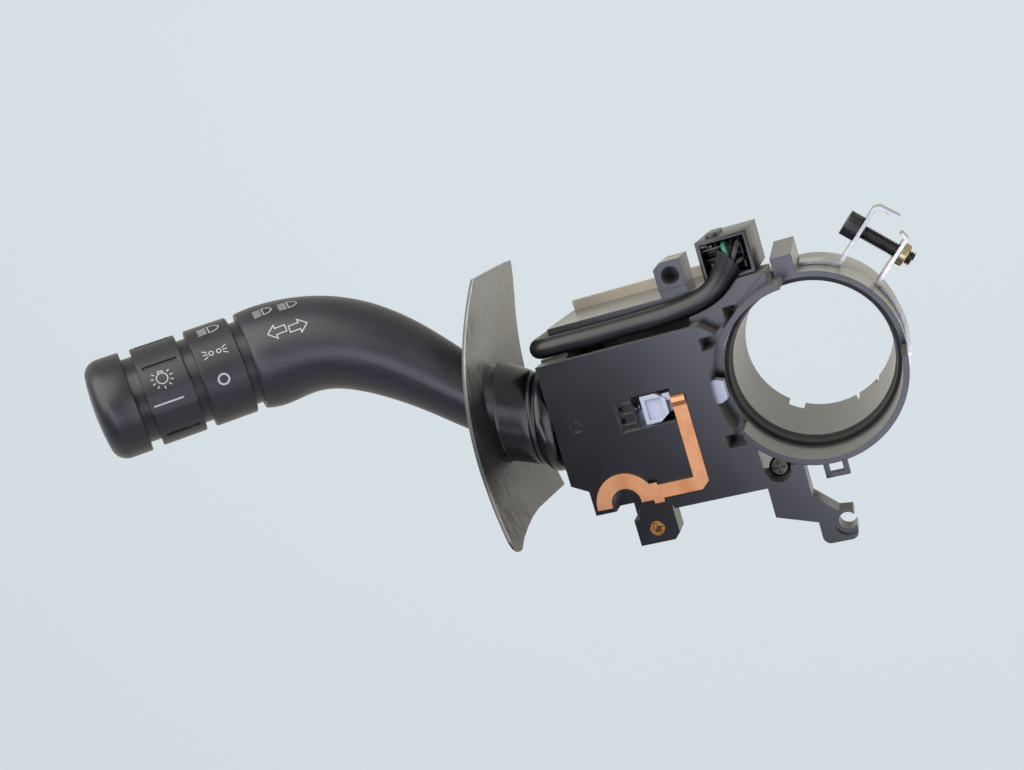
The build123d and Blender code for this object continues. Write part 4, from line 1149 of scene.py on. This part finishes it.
def draw_symbol(strokes, width_mm):
    """Flat mesh of strokes. Each is a list of points in mm and whether it closes."""
    profile = strip_profile(width_mm)
    line = bpy.data.curves.new("strokes", "CURVE")
    line.dimensions = "2D"
    line.fill_mode = "NONE"
    for points, closed in strokes:
        path = line.splines.new("POLY")
        path.points.add(len(points) - 1)
        for target, (x, y) in zip(path.points, points):
            target.co = (x * MM, y * MM, 0, 1)
        path.use_cyclic_u = closed
    line.bevel_mode = "OBJECT"
    line.bevel_object = profile
    piece = bpy.data.objects.new("strokes", line)
    bpy.context.collection.objects.link(piece)
    alone(piece)
    bpy.ops.object.convert(target="MESH")
    piece = bpy.context.object
    bpy.data.objects.remove(profile)
    bpy.ops.object.mode_set(mode="EDIT")
    bpy.ops.mesh.select_all(action="SELECT")
    bpy.ops.mesh.remove_doubles(threshold=WIDE_WELD)
    bpy.ops.mesh.subdivide(number_cuts=2)
    bpy.ops.object.mode_set(mode="OBJECT")
    return piece


def print_on(host, piece, name, at, out, body):
    """Wrap a flat symbol onto its host and let it ride on the body."""
    right = -KNOB_DIR
    right = (right - out * right.dot(out)).normalized()
    up = out.cross(right)
    piece.matrix_world = Matrix.Translation(at) @ Matrix((right, up, out)).transposed().to_4x4()
    wrap = piece.modifiers.new("wrap", "SHRINKWRAP")
    wrap.wrap_method = "PROJECT"
    wrap.use_project_z = True
    wrap.use_negative_direction = True
    wrap.use_positive_direction = False
    wrap.target = bpy.data.objects[host]
    wrap.offset = INK_FILM * MM
    apply_all(piece)
    piece = settle(piece, name, ink)
    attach(piece, body)
    return piece


print("a symbol stands", OUTSIDE, "mm off the axis before it is wrapped")

# %% [markdown]
# The strokes of each pictogram are short lists of points, drawn in millimetres with X along the lever
# and Y around it: arcs for lamps and lenses, straight legs for beams.

# %% Pictograms
def arc(x, rx, ry, start, stop, count):
    """Points from one angle to another on an ellipse round a point on the symbol's X axis."""
    angles = [math.radians(start + (stop - start) * i / count) for i in range(count + 1)]
    return [(x + rx * math.cos(a), ry * math.sin(a)) for a in angles]


def circle(x, r, count):
    """Closed circle round a point on the symbol's X axis."""
    return (arc(x, r, r, 0, 360, count)[:-1], True)


def ray(inner, outer, degrees):
    """Straight ray from the middle of the symbol."""
    way = (math.cos(math.radians(degrees)), math.sin(math.radians(degrees)))
    return ([(inner * way[0], inner * way[1]), (outer * way[0], outer * way[1])], False)


def lamp_lens(x, half_high, long):
    """Lens of a headlamp: a flat back and a round front."""
    front = arc(x, long, half_high, -90, 90, 16)[1:-1]
    return ([(x, -half_high)] + front + [(x, half_high)], True)


RAY_ANGLES = (38, 8, -22, -52, -90, -128, -158, 172, 142)
off_mark = [circle(0, 1.4, 28)]
bulb_mark = [circle(0, 1.45, 28), ([(-0.6, 1.4), (-0.6, 2.0), (0.6, 2.0), (0.6, 1.4)], False)]
bulb_mark += [ray(2.15, 2.95, degrees) for degrees in RAY_ANGLES]
side_mark = [circle(-1.05, 0.58, 16), circle(1.05, 0.58, 16)]
for way in (-1, 1):
    side_mark += [([(2.05 * way, y * 0.6), (3.3 * way, y * 1.25)], False) for y in (-1, 0, 1)]
beam_mark = [lamp_lens(0.2, 1.6, 2.9)]
beam_mark += [([(-0.4, y), (-2.8, y - 0.35)], False) for y in (-1.5, -0.9, -0.3, 0.3, 0.9, 1.5)]
main_mark = [lamp_lens(0.1, 1.45, 2.5)]
main_mark += [([(-0.45, y), (-2.6, y)], False) for y in (-1.35, -0.68, 0.0, 0.68, 1.35)]
arrow = [
    (-2.6, 0), (-0.4, 2.0), (-0.4, 0.95), (2.4, 0.95), (2.4, -0.95), (-0.4, -0.95), (-0.4, -2.0),
]
arrow_mark = [(arrow, True)]
mirror_mark = [([(-x, y) for x, y in reversed(arrow)], True)]
print("strokes of the bulb:", len(bulb_mark))

# %% [markdown]
# Each print is listed with its host, its strokes, the width of its line, its place on the
# knob and the body that it moves with. Off, side lights and low beam stand on the fixed ring,
# so the bulb on the turning ring points at one of them.

# %% Print them
prints = [
    ("print_off", "symbol_ring", off_mark, 0.50, (9.2, 264.6), "lever"),
    ("print_side_lights", "symbol_ring", side_mark, 0.27, (8.9, 296.7), "lever"),
    ("print_low_beam", "symbol_ring", beam_mark, 0.26, (8.5, 332.5), "lever"),
    ("print_bulb", "light_ring", bulb_mark, 0.27, (24.0, 288.0), "light_knob"),
    ("print_beam_outer", "stalk_body", main_mark, 0.27, (-6.73, 325.3), "lever"),
    ("print_beam_inner", "stalk_body", main_mark, 0.27, (-13.67, 322.7), "lever"),
    ("print_arrow_left", "stalk_body", arrow_mark, 0.30, (-8.2, 293.9), "lever"),
    ("print_arrow_right", "stalk_body", mirror_mark, 0.30, (-13.8, 290.9), "lever"),
]
for name, host, strokes, width, (along, angle), body in prints:
    made = print_on(host, draw_symbol(strokes, width), name, *on_knob(along, angle), body)
    print(name, len(made.data.polygons))

# %% [markdown]
# The index line lies in the recess of the light ring, along the knob.

# %% Index line
line_mark = [([(x, 0) for x in (-4.0, -2.0, 0, 2.0, 4.0)], False)]
index_place = on_knob(24.4, 260.4)
print_on("light_ring", draw_symbol(line_mark, 0.5), "print_index_line", *index_place, "light_knob")
print("index line printed")
